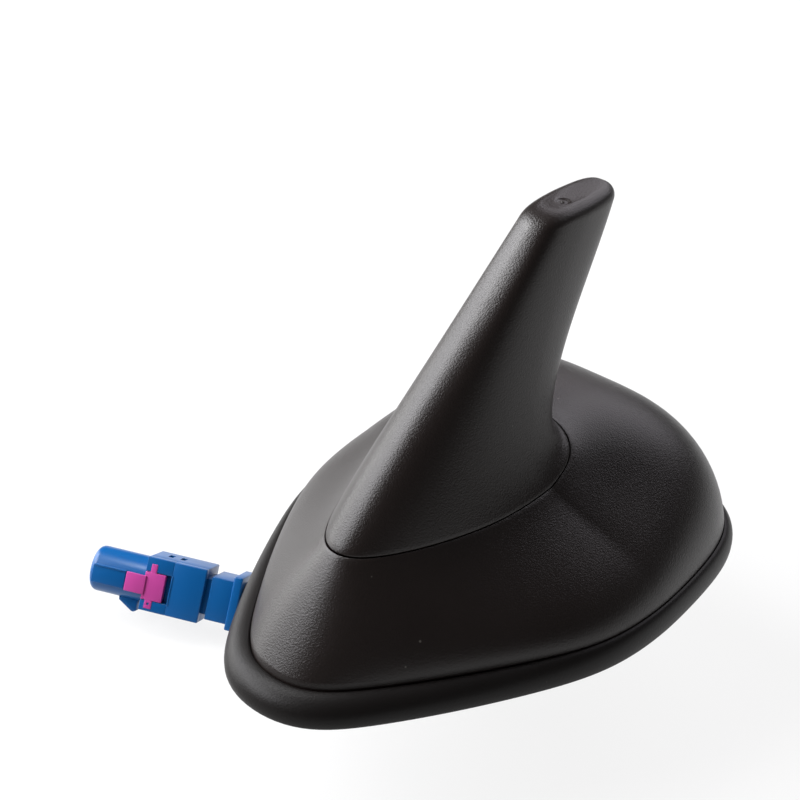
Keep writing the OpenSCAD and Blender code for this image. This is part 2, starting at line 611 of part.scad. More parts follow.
// A smooth curve through the route's points, two rings to each stretch
function through(p, i, t) = let (last = len(p) - 1, a = p[max(i - 1, 0)], b = p[i], c = p[min(i + 1, last)],
    d = p[min(i + 2, last)])
    0.5*(2*b + (c - a)*t + (2*a - 5*b + 4*c - d)*t*t + (3*b - a - 3*c + d)*t*t*t);
lead_line = [for (i = [0:len(lead_route) - 2], t = [0, 0.5]) through(lead_route, i, t), plug_at];
function hoop(c, v, r, n) = let (x = unit(cross([1, 0, 0], v)), y = cross(v, x))
    [for (k = [0:n - 1]) c + r*(cos(360*k/n)*x + sin(360*k/n)*y)];
module coax_lead() color([0.1, 0.1, 0.1]) ring_stack([for (i = [len(lead_line) - 1:-1:0])
    hoop(lead_line[i], i == 0 ? [0, 0, -1] : i == len(lead_line) - 1 ? plug_axis
        : bend(lead_line, i), lead_d/2, 8)]);

plug_axis = [cos(plug_heading)*cos(plug_fall), sin(plug_heading)*cos(plug_fall), -sin(plug_fall)];
flange_x = 3;
neck_x = flange_x + flange_t;
block_x = neck_x + neck_l;
barrel_x = block_x + block_l;
mouth_x = barrel_x + barrel_l;
shell_d = 5.6;
ferrule_d = 4.6;
ferrule_l = 8;
module at_plug() translate(plug_at) rotate([plug_roll, plug_fall, plug_heading]) children();
module rod(x, l, d) translate([x, 0, 0]) rotate([0, 90, 0]) cylinder(d = d, h = l);
// A box on the plug's axis, from x to x + l
module bar(x, l, w, h) translate([x, -w/2, -h/2]) cube([l, w, h]);

boot_slip = 0.25;
boot_l = 9;
boot_d = 8.4;
module cable_boot() color([0.12, 0.12, 0.12]) at_plug() rotate([0, 90, 0]) rotate_extrude()
    polygon([[lead_d/2 + boot_slip, -boot_l], [lead_d/2 + 1, -boot_l], [lead_d/2 + 1.8, -4],
        [boot_d/2, -1], [boot_d/2, flange_x], [ferrule_d/2 + fit, flange_x],
        [ferrule_d/2 + fit, -2*fit], [lead_d/2 + boot_slip, -2*fit]]);
module crimp_ferrule() color([0.8, 0.7, 0.45]) at_plug() difference() {
    rod(0, ferrule_l, ferrule_d);
    rod(0.1, ferrule_l, ferrule_d - 1.2);
}

lock_l = 4.5;       // plate of the lock, along the block
lock_h = 6;
lock_t = 1.3;
lock_z = -0.4;      // the lock sits this much below the plug's axis
lock_slot = 1.2;    // open slot left behind the plate
peg_l = 1.6;
peg_h = 1.8;
peg_x = 1;          // pegs stand this far behind the block's front face
peg_t = 0.9;
tongue_l = 3.8;
tongue_h = 4;
tongue_t = 0.9;
latch_x = 1.2;      // latch nose under the barrel, ahead of the block
latch_l = 4.4;
latch_drop = 2.4;
latch_w = 3.2;
neck_cut = 1.2;     // groove round the neck, right behind the block
pad_w = 3.8;        // raised strip along the barrel, in line with the tongue
pad_rise = 0.35;
pocket = [1.1, 2.4, 0.7];
pocket_y = 0.9;
mouth_step = 7;     // the mouth's wider first stretch
mouth_edge = 0.8;
module plug_housing() color([0.02, 0.36, 0.62]) at_plug() {
    bore = shell_d + 2*fit;
    difference() {
        union() {
            bar(flange_x, flange_t, block_w, block_h);
            bar(neck_x, neck_l, block_w - 2.6, block_h - 3.8);
            bar(neck_x, neck_l - neck_cut, block_w - 1, block_h - 2.2);
            bar(block_x, block_l, block_w, block_h);
            rod(barrel_x, barrel_l - mouth_edge, barrel_d);
            translate([mouth_x - mouth_edge, 0, 0]) rotate([0, 90, 0])
                cylinder(d1 = barrel_d, d2 = barrel_d - 1.5*mouth_edge, h = mouth_edge);
            translate([barrel_x + latch_x, 0, -barrel_d/2]) rotate([90, 0, 0])
                linear_extrude(latch_w, center = true)
                polygon([[0, 0.5], [0.2, 0.2 - latch_drop], [0.9, -latch_drop], [latch_l, -0.2],
                    [latch_l, 0.5]]);
            translate([barrel_x + tongue_l + 0.2, 0, lock_z - pad_w/2])
                cube([barrel_l - tongue_l - 1.2, barrel_d/2 + pad_rise, pad_w]);
        }
        rod(flange_x - 1, mouth_x, bore);
        rod(mouth_x - mouth_step, mouth_step + 1, bore + 1.6);
        // recess for the lock's plate, and for its pegs
        translate([barrel_x - lock_l - lock_slot, block_w/2 - lock_t, lock_z - lock_h/2])
            cube([lock_l + lock_slot + fit, lock_t + 1, lock_h]);
        translate([barrel_x - peg_x - peg_l - fit, block_w/2 - peg_t, lock_z - lock_h/2 - peg_h])
            cube([peg_l + 2*fit, peg_t + 1, lock_h + 2*peg_h]);
        // two small tool pockets in the top
        for (x = [3.3, 5.9]) translate([barrel_x - x, -pocket_y, block_h/2 - pocket[2]/2 + fit])
            cube(pocket, center = true);
    }
}
module secondary_lock() color([0.72, 0.29, 0.57]) at_plug() translate([0, 0, lock_z]) difference() {
    proud = 0.15;
    under = barrel_d/2 + slip;
    union() {
        translate([barrel_x - lock_l, block_w/2 - lock_t + fit, -lock_h/2 + fit])
            cube([lock_l, lock_t + proud - fit, lock_h - 2*fit]);
        translate([barrel_x - peg_x - peg_l, block_w/2 - peg_t + fit, -lock_h/2 - peg_h + fit])
            cube([peg_l, peg_t + proud - fit, lock_h + 2*peg_h - 2*fit]);
        linear_extrude(tongue_h, center = true) polygon([
            [barrel_x - 1.4, block_w/2 - lock_t + fit], [barrel_x - 1.4, block_w/2 + proud],
            [barrel_x - 0.5, under + tongue_t], [barrel_x + tongue_l, under + tongue_t],
            [barrel_x + tongue_l, under], [barrel_x - slip, under],
            [barrel_x - slip, block_w/2 - lock_t + fit]]);
    }
    translate([barrel_x - peg_x - peg_l/2, block_w/2 + 1, fit - lock_h/2 - peg_h/2])
        rotate([90, 0, 0]) cylinder(d = 0.7, h = 1.4);
}
module contact_shell() color([0.85, 0.83, 0.75]) at_plug() difference() {
    rod(ferrule_l, mouth_x - 1 - ferrule_l, shell_d);
    rod(ferrule_l - 1, mouth_x, shell_d - 1);
}
module insulator() color([0.95, 0.95, 0.93]) at_plug() difference() {
    rod(ferrule_l + 2, mouth_x - 8 - ferrule_l, shell_d - 1 - 2*slip);
    rod(ferrule_l, mouth_x, 1.1 + 2*slip);
}
module centre_contact() color([0.9, 0.75, 0.35]) at_plug() rod(ferrule_l - 1, mouth_x - 2 - ferrule_l, 1.1);

fin_shell();
base_cover();
fin_seal();
roof_gasket();
base_plate();
fixing_stud();
stud_seal();
claw_washer();
fixing_nut();
cover_screws();
perimeter_seal();
main_board();
board_screws();
board_holder();
fin_board();
feed_spring();
patch_pad();
patch_antenna();
patch_pin();
shield_can();
amplifier_chip();
filter_block();
coax_socket();
lead_inside();
stud_bush();
coax_lead();
cable_boot();
crimp_ferrule();
plug_housing();
secondary_lock();
contact_shell();
insulator();
centre_contact();
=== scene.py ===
"""Looks of the roof aerial: smooth shells, gasket lip, fixings, lead and plug, each in its own finish.

Metres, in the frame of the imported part: the nose points to -X, Z is up, and Z = 0 is the roof.
Sizes are in millimetres unless a comment says metres, and turn into metres where a vertex is placed.
The loft that the cover and the fin are cut from is the part's own, with more sections.
"""
from math import cos, hypot, pi, radians, sin

import bmesh
import bpy
from mathutils import Matrix, Vector


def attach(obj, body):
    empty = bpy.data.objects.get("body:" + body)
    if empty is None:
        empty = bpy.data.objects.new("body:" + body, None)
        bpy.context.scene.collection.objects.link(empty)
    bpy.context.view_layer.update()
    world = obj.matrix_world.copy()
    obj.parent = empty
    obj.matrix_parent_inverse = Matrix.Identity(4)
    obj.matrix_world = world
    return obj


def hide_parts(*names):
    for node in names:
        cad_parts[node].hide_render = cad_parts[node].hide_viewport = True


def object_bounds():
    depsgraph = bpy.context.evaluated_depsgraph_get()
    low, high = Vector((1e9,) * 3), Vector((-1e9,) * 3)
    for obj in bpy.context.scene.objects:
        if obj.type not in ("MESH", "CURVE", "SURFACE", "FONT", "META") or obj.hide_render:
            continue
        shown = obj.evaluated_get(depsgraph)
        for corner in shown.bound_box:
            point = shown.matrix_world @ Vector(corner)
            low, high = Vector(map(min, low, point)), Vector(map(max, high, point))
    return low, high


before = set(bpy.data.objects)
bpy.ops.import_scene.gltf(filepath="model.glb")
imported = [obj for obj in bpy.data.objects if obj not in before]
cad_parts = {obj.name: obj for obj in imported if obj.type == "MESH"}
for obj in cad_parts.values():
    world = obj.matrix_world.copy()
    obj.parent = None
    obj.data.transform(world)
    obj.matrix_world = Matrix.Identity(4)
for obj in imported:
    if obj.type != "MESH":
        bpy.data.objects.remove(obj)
cad_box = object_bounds()
MM = 0.001


# ---- Camera, at the photograph's viewing angle ----

CAMERA_PLACE = (-202.0, -142.7, 184.4)
CAMERA_BACK = (-0.673, -0.535, 0.511)    # from what it looks at towards the camera
CAMERA_RIGHT = (0.649, -0.758, 0.061)
CAMERA_LENS = 70.33
CAMERA_SENSOR = 36
CAMERA_NEAR = 0.01                       # metres


def make_camera():
    """The camera that was fitted to the photograph."""
    back = Vector(CAMERA_BACK).normalized()
    right = Vector(CAMERA_RIGHT)
    right = (right - back * right.dot(back)).normalized()
    turn = Matrix((right, back.cross(right), back)).transposed().to_4x4()
    data = bpy.data.cameras.new("camera")
    data.lens = CAMERA_LENS
    data.sensor_width = CAMERA_SENSOR
    data.clip_start = CAMERA_NEAR
    camera = bpy.data.objects.new("camera", data)
    camera.matrix_world = Matrix.Translation(Vector(CAMERA_PLACE) * MM) @ turn
    bpy.context.collection.objects.link(camera)
    bpy.context.scene.camera = camera


# ---- Shared effects ----

DUST_CELLS = 300.0                 # cells to the metre, each with room for one speck
DUST_CORE, DUST_RIM = 0.05, 0.08   # a speck's full and outer radius, in cells
DUST_CLEAN = 0.78                  # share of the cells that stay clean
DUST_COLOUR = (0.35, 0.33, 0.3)
STREAK_STRETCH = 0.06              # the noise's scale along a streak, against 1 across it


def add_node(tree, kind, **values):
    """A node with its settings, and the start values of its sockets, given by name."""
    node = tree.nodes.new(kind)
    for name, value in values.items():
        if hasattr(node, name):
            setattr(node, name, value)
        else:
            node.inputs[name.replace("_", " ").title()].default_value = value
    return node


def new_group(name, inputs, outputs):
    """A node group with number sockets, and the two nodes that they end on."""
    group = bpy.data.node_groups.new(name, "ShaderNodeTree")
    for label, start in inputs:
        socket = group.interface.new_socket(label, in_out="INPUT", socket_type="NodeSocketFloat")
        socket.default_value = start
    for label in outputs:
        group.interface.new_socket(label, in_out="OUTPUT", socket_type="NodeSocketFloat")
    return group, add_node(group, "NodeGroupInput"), add_node(group, "NodeGroupOutput")


def object_place(tree, scale=(1, 1, 1), turn=(0, 0, 0)):
    """Object coordinates, scaled and turned by degrees."""
    coordinates = add_node(tree, "ShaderNodeTexCoord")
    mapping = add_node(tree, "ShaderNodeMapping")
    mapping.inputs["Scale"].default_value = scale
    mapping.inputs["Rotation"].default_value = [radians(a) for a in turn]
    tree.links.new(coordinates.outputs["Object"], mapping.inputs["Vector"])
    return mapping.outputs["Vector"]


def joined(tree, operation, first, second):
    """Two values put together by a Math node; either may be a socket or a number."""
    node = add_node(tree, "ShaderNodeMath", operation=operation)
    for socket, value in zip(node.inputs, (first, second)):
        if isinstance(value, (int, float)):
            socket.default_value = value
        else:
            tree.links.new(value, socket)
    return node.outputs["Value"]


def moulded_surface_group():
    """Fine grain and slow unevenness of a moulded or cast skin, and a few specks of dust."""
    group, inlet, outlet = new_group("moulded_surface", (("Grain Scale", 3000.0), ("Cloud Scale", 60.0)),
                                     ("Grain", "Cloud", "Dust"))
    spot = object_place(group)
    grain = add_node(group, "ShaderNodeTexNoise", detail=2.0, roughness=0.55)
    cloud = add_node(group, "ShaderNodeTexNoise", detail=4.0, roughness=0.55)
    for noise, scale, out in ((grain, "Grain Scale", "Grain"), (cloud, "Cloud Scale", "Cloud")):
        group.links.new(spot, noise.inputs["Vector"])
        group.links.new(inlet.outputs[scale], noise.inputs["Scale"])
        group.links.new(noise.outputs["Fac"], outlet.inputs[out])
    cells = add_node(group, "ShaderNodeTexVoronoi", feature="F1", scale=DUST_CELLS)
    group.links.new(spot, cells.inputs["Vector"])
    speck = add_node(group, "ShaderNodeMapRange", from_min=DUST_CORE, from_max=DUST_RIM, to_min=1.0, to_max=0.0)
    group.links.new(cells.outputs["Distance"], speck.inputs["Value"])
    rare = joined(group, "GREATER_THAN", cells.outputs["Color"], DUST_CLEAN)
    group.links.new(joined(group, "MULTIPLY", speck.outputs["Result"], rare), outlet.inputs["Dust"])
    return group


def drawn_streaks_group():
    """Fine streaks that a draw, a grind or a turning tool leaves in metal."""
    group, inlet, outlet = new_group("drawn_streaks", (("Fineness", 900.0),), ("Streak",))
    along = add_node(group, "ShaderNodeTexNoise", detail=3.0, roughness=0.7)
    across = add_node(group, "ShaderNodeTexNoise", detail=3.0, roughness=0.7)
    for noise, scale in ((along, (STREAK_STRETCH, 1, 1)), (across, (1, STREAK_STRETCH, 1))):
        group.links.new(object_place(group, scale), noise.inputs["Vector"])
        group.links.new(inlet.outputs["Fineness"], noise.inputs["Scale"])
    both = joined(group, "ADD", along.outputs["Fac"], across.outputs["Fac"])
    group.links.new(joined(group, "MULTIPLY", both, 0.5), outlet.inputs["Streak"])
    return group


SURFACE = moulded_surface_group()
STREAKS = drawn_streaks_group()


# ---- Finishes ----

CLOUD_SCALE = 60.0                     # slow unevenness of a moulded skin, to the metre
GLOSS_DRIFT = 0.04                     # how far a moulded skin's roughness drifts either way
METAL_SHADE, METAL_CLOUD = 0.82, 0.86  # tone of a streak and of a cloud against the plain metal
METAL_DULL, METAL_BRIGHT = 0.12, -0.08


def new_finish(name, metallic=0.0, **shader_values):
    """A material, with its node tree and its shader."""
    material = bpy.data.materials.new(name)
    material.use_nodes = True
    shader = material.node_tree.nodes["Principled BSDF"]
    shader.inputs["Metallic"].default_value = metallic
    for key, value in shader_values.items():
        shader.inputs[key.replace("_", " ").title().replace("Ior", "IOR")].default_value = value
    return material, material.node_tree, shader


def span(tree, value, low, high):
    """A share of 0 to 1 turned into a number between low and high."""
    node = add_node(tree, "ShaderNodeMapRange", to_min=low, to_max=high)
    tree.links.new(value, node.inputs["Value"])
    return node.outputs["Result"]


def tinted(tree, value, dark, light):
    """A colour between two others, each given as a tuple or a socket."""
    node = add_node(tree, "ShaderNodeMix", data_type="RGBA")
    for socket, colour in ((node.inputs[6], dark), (node.inputs[7], light)):
        if isinstance(colour, tuple):
            socket.default_value = (*colour, 1)
        else:
            tree.links.new(colour, socket)
    tree.links.new(value, node.inputs[0])
    return node.outputs[2]


def relief(tree, shader, height, depth):
    """A height of 0 to 1 that shows as relief of the given depth in metres."""
    bump = add_node(tree, "ShaderNodeBump")
    bump.inputs["Strength"].default_value = 1.0
    bump.inputs["Distance"].default_value = depth
    tree.links.new(height, bump.inputs["Height"])
    tree.links.new(bump.outputs["Normal"], shader.inputs["Normal"])


def surface(tree, grain_scale, cloud_scale):
    """The moulded surface's group, placed in a material with its own scales."""
    skin = add_node(tree, "ShaderNodeGroup", node_tree=SURFACE)
    skin.inputs["Grain Scale"].default_value = grain_scale
    skin.inputs["Cloud Scale"].default_value = cloud_scale
    return skin


def round_cells(tree, scale):
    """Distance from the middle of the nearest of many scattered cells."""
    cells = add_node(tree, "ShaderNodeTexVoronoi", feature="F1", scale=scale)
    tree.links.new(object_place(tree), cells.inputs["Vector"])
    return cells.outputs["Distance"]


def moulded(name, colour, rough, grain_scale, grain_depth, shift=0.1, dust=0.0, **shader_values):
    """Moulded plastic or rubber: drifting tone and gloss, grain in relief, and dust where it is given."""
    material, tree, shader = new_finish(name, **shader_values)
    skin = surface(tree, grain_scale, CLOUD_SCALE)
    tone = tinted(tree, skin.outputs["Cloud"], tuple(c * (1 - shift) for c in colour),
                  tuple(min(1, c * (1 + shift)) for c in colour))
    if dust:
        tone = tinted(tree, span(tree, skin.outputs["Dust"], 0, dust), tone, DUST_COLOUR)
    tree.links.new(tone, shader.inputs["Base Color"])
    tree.links.new(span(tree, skin.outputs["Cloud"], rough - GLOSS_DRIFT, rough + GLOSS_DRIFT),
                   shader.inputs["Roughness"])
    relief(tree, shader, skin.outputs["Grain"], grain_depth)
    return material


def metal(name, colour, rough, fineness, depth, cloud_tint=None):
    """Plated or bare metal with drawn streaks and a slow cloud in its tone."""
    material, tree, shader = new_finish(name, metallic=1.0)
    streak = add_node(tree, "ShaderNodeGroup", node_tree=STREAKS)
    streak.inputs["Fineness"].default_value = fineness
    skin = surface(tree, 2500, 150)
    base = tinted(tree, streak.outputs["Streak"], tuple(c * METAL_SHADE for c in colour), colour)
    tone = tinted(tree, span(tree, skin.outputs["Cloud"], 0, 0.7), base,
                  cloud_tint or tuple(c * METAL_CLOUD for c in colour))
    tree.links.new(tone, shader.inputs["Base Color"])
    tree.links.new(span(tree, streak.outputs["Streak"], rough + METAL_DULL, rough + METAL_BRIGHT),
                   shader.inputs["Roughness"])
    relief(tree, shader, streak.outputs["Streak"], depth)
    return material


def cast_metal(name):
    """Die cast zinc: a fine cast skin with small pits, each painted dark as the shade inside a pit, dull where it is
    rough.
    """
    material, tree, shader = new_finish(name, metallic=1.0)
    skin = surface(tree, 1400, 90)
    # Painted shade: small round spots are darkened as the shade inside pits that the mesh doesn't have.
    pit_shade = add_node(tree, "ShaderNodeMapRange", from_min=0.08, from_max=0.2)
    tree.links.new(round_cells(tree, 700.0), pit_shade.inputs["Value"])
    cloudy = tinted(tree, skin.outputs["Cloud"], (0.4, 0.41, 0.43), (0.56, 0.56, 0.57))
    tree.links.new(tinted(tree, pit_shade.outputs["Result"], (0.2, 0.2, 0.21), cloudy), shader.inputs["Base Color"])
    tree.links.new(span(tree, skin.outputs["Grain"], 0.55, 0.36), shader.inputs["Roughness"])
    relief(tree, shader, skin.outputs["Grain"], 0.00004)
    return material


def circuit_board(name):
    """Green lacquer over copper lines, with tinned holes. The lines run in X and in Y or Z."""
    material, tree, shader = new_finish(name)
    skin = surface(tree, 2500, 80)
    trace = None
    for turn, scale, offset in ((0, 260, 0.37), (0, 120, 0.61), (90, 200, 0.43)):
        lines = add_node(tree, "ShaderNodeTexBrick", offset=offset, squash=1.7, squash_frequency=3)
        lines.inputs["Scale"].default_value = scale
        lines.inputs["Mortar Size"].default_value = 0.035
        lines.inputs["Mortar Smooth"].default_value = 0.1
        tree.links.new(object_place(tree, turn=(turn, 0, 0)), lines.inputs["Vector"])
        mask = lines.outputs["Fac"]
        trace = mask if trace is None else joined(tree, "MAXIMUM", trace, mask)
    hole = add_node(tree, "ShaderNodeMapRange", from_min=0.1, from_max=0.13, to_min=1.0, to_max=0.0)
    tree.links.new(round_cells(tree, 320.0), hole.inputs["Value"])
    lacquer = tinted(tree, skin.outputs["Cloud"], (0.004, 0.055, 0.02), (0.006, 0.075, 0.03))
    lined = tinted(tree, trace, lacquer, (0.012, 0.15, 0.055))
    tree.links.new(tinted(tree, hole.outputs["Result"], lined, (0.6, 0.58, 0.5)), shader.inputs["Base Color"])
    tree.links.new(hole.outputs["Result"], shader.inputs["Metallic"])
    tree.links.new(span(tree, skin.outputs["Cloud"], 0.22, 0.34), shader.inputs["Roughness"])
    relief(tree, shader, trace, 0.00004)
    return material


def patch_tile(name, silver_above):
    """Fired ceramic with a silver face on its top."""
    material, tree, shader = new_finish(name)
    skin = surface(tree, 1600, 130)
    coordinates = add_node(tree, "ShaderNodeTexCoord")
    axes = add_node(tree, "ShaderNodeSeparateXYZ")
    tree.links.new(coordinates.outputs["Object"], axes.inputs["Vector"])
    silver = joined(tree, "GREATER_THAN", axes.outputs["Z"], silver_above * MM)
    body = tinted(tree, skin.outputs["Cloud"], (0.5, 0.38, 0.25), (0.64, 0.52, 0.37))
    face = tinted(tree, skin.outputs["Cloud"], (0.7, 0.69, 0.66), (0.83, 0.82, 0.8))
    tree.links.new(tinted(tree, silver, body, face), shader.inputs["Base Color"])
    tree.links.new(silver, shader.inputs["Metallic"])
    tree.links.new(span(tree, skin.outputs["Grain"], 0.38, 0.6), shader.inputs["Roughness"])
    relief(tree, shader, skin.outputs["Grain"], 0.00002)
    return material


def foam(name):
    """White foam pad with open cells in relief, each painted darker towards its middle as the shade in its hollow.
    """
    material, tree, shader = new_finish(name, specular_ior_level=0.2)
    pore_depth_and_shade = round_cells(tree, 1600.0)
    # Painted shade: the colour darkens towards each cell's middle, where the hollow lies; the same cells also give
    # real relief and roughness.
    tree.links.new(tinted(tree, pore_depth_and_shade, (0.62, 0.62, 0.58), (0.86, 0.86, 0.82)), shader.inputs["Base Color"])
    tree.links.new(span(tree, pore_depth_and_shade, 0.7, 0.95), shader.inputs["Roughness"])
    relief(tree, shader, pore_depth_and_shade, 0.00015)
    return material


def paint(node, material):
    """Gives a carried-over CAD node its finish."""
    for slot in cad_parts[node].material_slots:
        slot.material = material


# ---- Mesh helpers ----

def finish_piece(name, bm, material, slot, *nodes, sharp=40):
    """Closes a mesh, shades it smooth up to the sharp angle, and puts the piece in for its nodes."""
    bmesh.ops.remove_doubles(bm, verts=bm.verts, dist=1e-7)
    bmesh.ops.recalc_face_normals(bm, faces=bm.faces)
    mesh = bpy.data.meshes.new(name)
    bm.to_mesh(mesh)
    bm.free()
    for face in mesh.polygons:
        face.use_smooth = True
    mesh.set_sharp_from_angle(angle=radians(sharp))
    mesh.materials.append(material)
    piece = bpy.data.objects.new(name, mesh)
    bpy.context.collection.objects.link(piece)
    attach(piece, "root")
    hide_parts(*nodes)
    return piece


def place(verts, points):
    """Moves vertices to points in millimetres."""
    for vert, point in zip(verts, points):
        vert.co = Vector(point) * MM


def verts_of(geom):
    return [item for item in geom if isinstance(item, bmesh.types.BMVert)]


def edges_round(verts):
    return list({edge for vert in verts for edge in vert.link_edges})


def bevel(bm, edges, width, segments):
    """Rounds edges by a width in millimetres."""
    return bmesh.ops.bevel(bm, geom=edges, offset=width * MM, offset_type="OFFSET", segments=segments,
                           profile=0.5, affect="EDGES", material=-1)


def directions(count):
    """Level directions, evenly round the axis, from +X."""
    return [Vector((cos(2 * pi * i / count), sin(2 * pi * i / count), 0)) for i in range(count)]


def loft(bm, sections, closed=False):
    """A skin drawn from section to section, closed on itself or capped at both ends."""
    ring = bmesh.ops.create_circle(bm, segments=len(sections[0]), radius=1)["verts"]
    place(ring, sections[0])
    edges = first = edges_round(ring)
    for points in sections[1:] + (sections[:1] if closed else []):
        made = bmesh.ops.extrude_edge_only(bm, edges=edges)["geom"]
        fresh = set(verts_of(made))
        ring = [next(edge.other_vert(vert) for edge in vert.link_edges if edge.other_vert(vert) in fresh)
                for vert in ring]
        place(ring, points)
        edges = [item for item in made if isinstance(item, bmesh.types.BMEdge)]
    if not closed:
        for end in (first, edges):
            made = bmesh.ops.contextual_create(bm, geom=end)
            bmesh.ops.poke(bm, faces=made["faces"])


def lathe(bm, profile, axis, steps=64):
    """Turns a closed profile about X or Z: pairs of (x, radius) about X, or (radius, z) about Z."""
    verts = [bm.verts.new((first * MM, 0, second * MM)) for first, second in profile]
    edges = [bm.edges.new((a, b)) for a, b in zip(verts, verts[1:] + verts[:1])]
    bmesh.ops.spin(bm, geom=verts + edges, cent=(0, 0, 0), axis=axis, angle=2 * pi, steps=steps, use_merge=True)


def plate(bm, outline, y, soften):
    """An outline of (x, z) pairs given thickness between two values of y, with softened edges."""
    verts = [bm.verts.new((px * MM, y[0] * MM, pz * MM)) for px, pz in outline]
    tops = verts_of(bmesh.ops.extrude_face_region(bm, geom=[bm.faces.new(verts)])["geom"])
    bmesh.ops.translate(bm, verts=tops, vec=(0, (y[1] - y[0]) * MM, 0))
    bevel(bm, edges_round(verts + tops), soften, 2)


def block(bm, x, y, z, soften):
    """A box between pairs of x, y and z in millimetres, with softened edges. Gives its faces."""
    size = [(b - a) * MM for a, b in (x, y, z)]
    middle = [(a + b) / 2 * MM for a, b in (x, y, z)]
    made = bmesh.ops.create_cube(bm, size=1, matrix=Matrix.Translation(middle) @ Matrix.Diagonal((*size, 1)))
    made = bevel(bm, edges_round(made["verts"]), soften, 3)
    return list({face for vert in made["verts"] for face in vert.link_faces})


def sink(bm, faces, x, y, depth):
    """Sinks a rectangular pocket between pairs of x and y into the top of a block."""
    for mark, way in ((x[0], (1, 0, 0)), (x[1], (1, 0, 0)), (y[0], (0, 1, 0)), (y[1], (0, 1, 0))):
        faces = [face for face in faces if face.is_valid]
        geom = (faces + list({edge for face in faces for edge in face.edges})
                + list({vert for face in faces for vert in face.verts}))
        cut = bmesh.ops.bisect_plane(bm, geom=geom, dist=1e-8, plane_co=Vector(way) * mark * MM, plane_no=way)
        faces = [item for item in cut["geom"] if isinstance(item, bmesh.types.BMFace)]
    top = max(face.calc_center_median().z for face in faces)
    bottom = []
    for face in faces:
        middle = face.calc_center_median()
        if middle.z > top - 1e-6 and x[0] * MM < middle.x < x[1] * MM and y[0] * MM < middle.y < y[1] * MM:
            bottom.append(face)
    made = bmesh.ops.extrude_face_region(bm, geom=bottom)["geom"]
    bmesh.ops.delete(bm, geom=bottom, context="FACES_ONLY")
    bmesh.ops.translate(bm, verts=verts_of(made), vec=(0, 0, -depth * MM))
    return [face for face in faces if face.is_valid]


# ---- The loft that the cover and the fin are cut from ----

SIDES = 192
CREASE_Z = 6.0       # height of the crease between cover and lip
WEB_T = 1.6          # top of the gasket's web
PLATE_TOP = 4.6
COVER_WALL, FIN_WALL = 2.4, 2.0
NOSE, FLANK, TAIL = 52, 37.9, 55.3                               # the cover at its crease, from the stud's axis
SEAM_FRONT, SEAM_SIDE, SEAM_REAR = (37.6, 23.6), (16.1, 25.4), (15.3, 32.1)    # distance out, height
TIP_FRONT, TIP_SIDE, TIP_REAR = (-10.5, 72.4), (5, 72.85), (34.2, 73.3)
TIP_EDGE = 2.4                                                   # height over which the tip's edge rounds
SEAM_SLOPES, TIP_SLOPES = (48.5, 46.8, 15.2), (46, 87.2, 104.7)  # degrees, at front, side and rear
COVER_WIDEST, SEAM_WIDEST = 13, 3.8
SEAM_START = 0.2 / 48.8                                          # share of the fin that the seam's gap takes
SIDE_BLEND, NOSE_BLEND = 8, 14
FLANK_SHAPE, NOSE_SHAPE, TAIL_SHAPE = (1.42, 1.68, 1.58), (1.54, 1.79), 3.3    # the cover's, from crease to seam
FIN_FLANK_SHAPE, FIN_NOSE_SHAPE, TIP_SHAPE = (1.58, 2.52, 3), (1.79, 2.06, 3), 3


def mix(a, b, t):
    return a + (b - a) * t


def mix3(a, m, b, t):
    return (1 - t) ** 2 * a + 2 * t * (1 - t) * m + t * t * b


def guide(start, end, slopes, pulls):
    """A cubic in its own plane, as distance out from the axis and height."""
    length = hypot(end[0] - start[0], end[1] - start[1])
    first, last = (radians(slope) for slope in slopes)
    return (Vector(start),
            Vector((start[0] - pulls[0] * length * cos(first), start[1] + pulls[0] * length * sin(first))),
            Vector((end[0] + pulls[1] * length * cos(last), end[1] - pulls[1] * length * sin(last))),
            Vector(end))


def inset(g, t, d):
    """The point at t on a guide, moved inwards by d square to it."""
    point = (1 - t) ** 3 * g[0] + 3 * (1 - t) ** 2 * t * g[1] + 3 * (1 - t) * t * t * g[2] + t ** 3 * g[3]
    way = (1 - t) ** 2 * (g[1] - g[0]) + 2 * (1 - t) * t * (g[2] - g[1]) + t * t * (g[3] - g[2])
    return point - d * Vector((way.y, -way.x)).normalized()


def around(front, side, rear, a):
    """A value that is front, side and rear in those directions, and smooth between them."""
    return (front + rear + 2 * side) / 4 + (rear - front) / 2 * cos(a) + (front + rear - 2 * side) / 4 * cos(2 * a)


def power(v, e):
    return abs(v) ** e * (1 if v >= 0 else -1)


def ease_side(e, a):
    """An egg's exponent, led over to an ellipse's 2 at the widest station."""
    return 2 + (e - 2) * (1 - abs(sin(a)) ** SIDE_BLEND)


def ease_nose(e, a):
    return 2 + (e - 2) * (1 - abs(cos(a)) ** NOSE_BLEND)


def egg_ring(front, side, rear, widest, flank, nose, tail, grow=0.0, dz=0.0):
    """One section: an egg in plan through the three guides, with its own rise and fall."""
    points = []
    for i in range(SIDES):
        a = 2 * pi * i / SIDES
        if cos(a) < 0:
            x = widest + (widest + front[0] + grow) * power(cos(a), 2 / ease_side(flank, a))
            y = (side[0] + grow) * power(sin(a), 2 / ease_nose(nose, a))
        else:
            x = widest + (rear[0] + grow - widest) * power(cos(a), 2 / ease_side(tail, a))
            y = (side[0] + grow) * power(sin(a), 2 / tail)
        points.append(Vector((x, y, around(front[1], side[1], rear[1], a) + dz)))
    return points


def under_tip(point):
    """Where a guide ends, below the tip's rounded edge."""
    return point[0], point[1] - TIP_EDGE


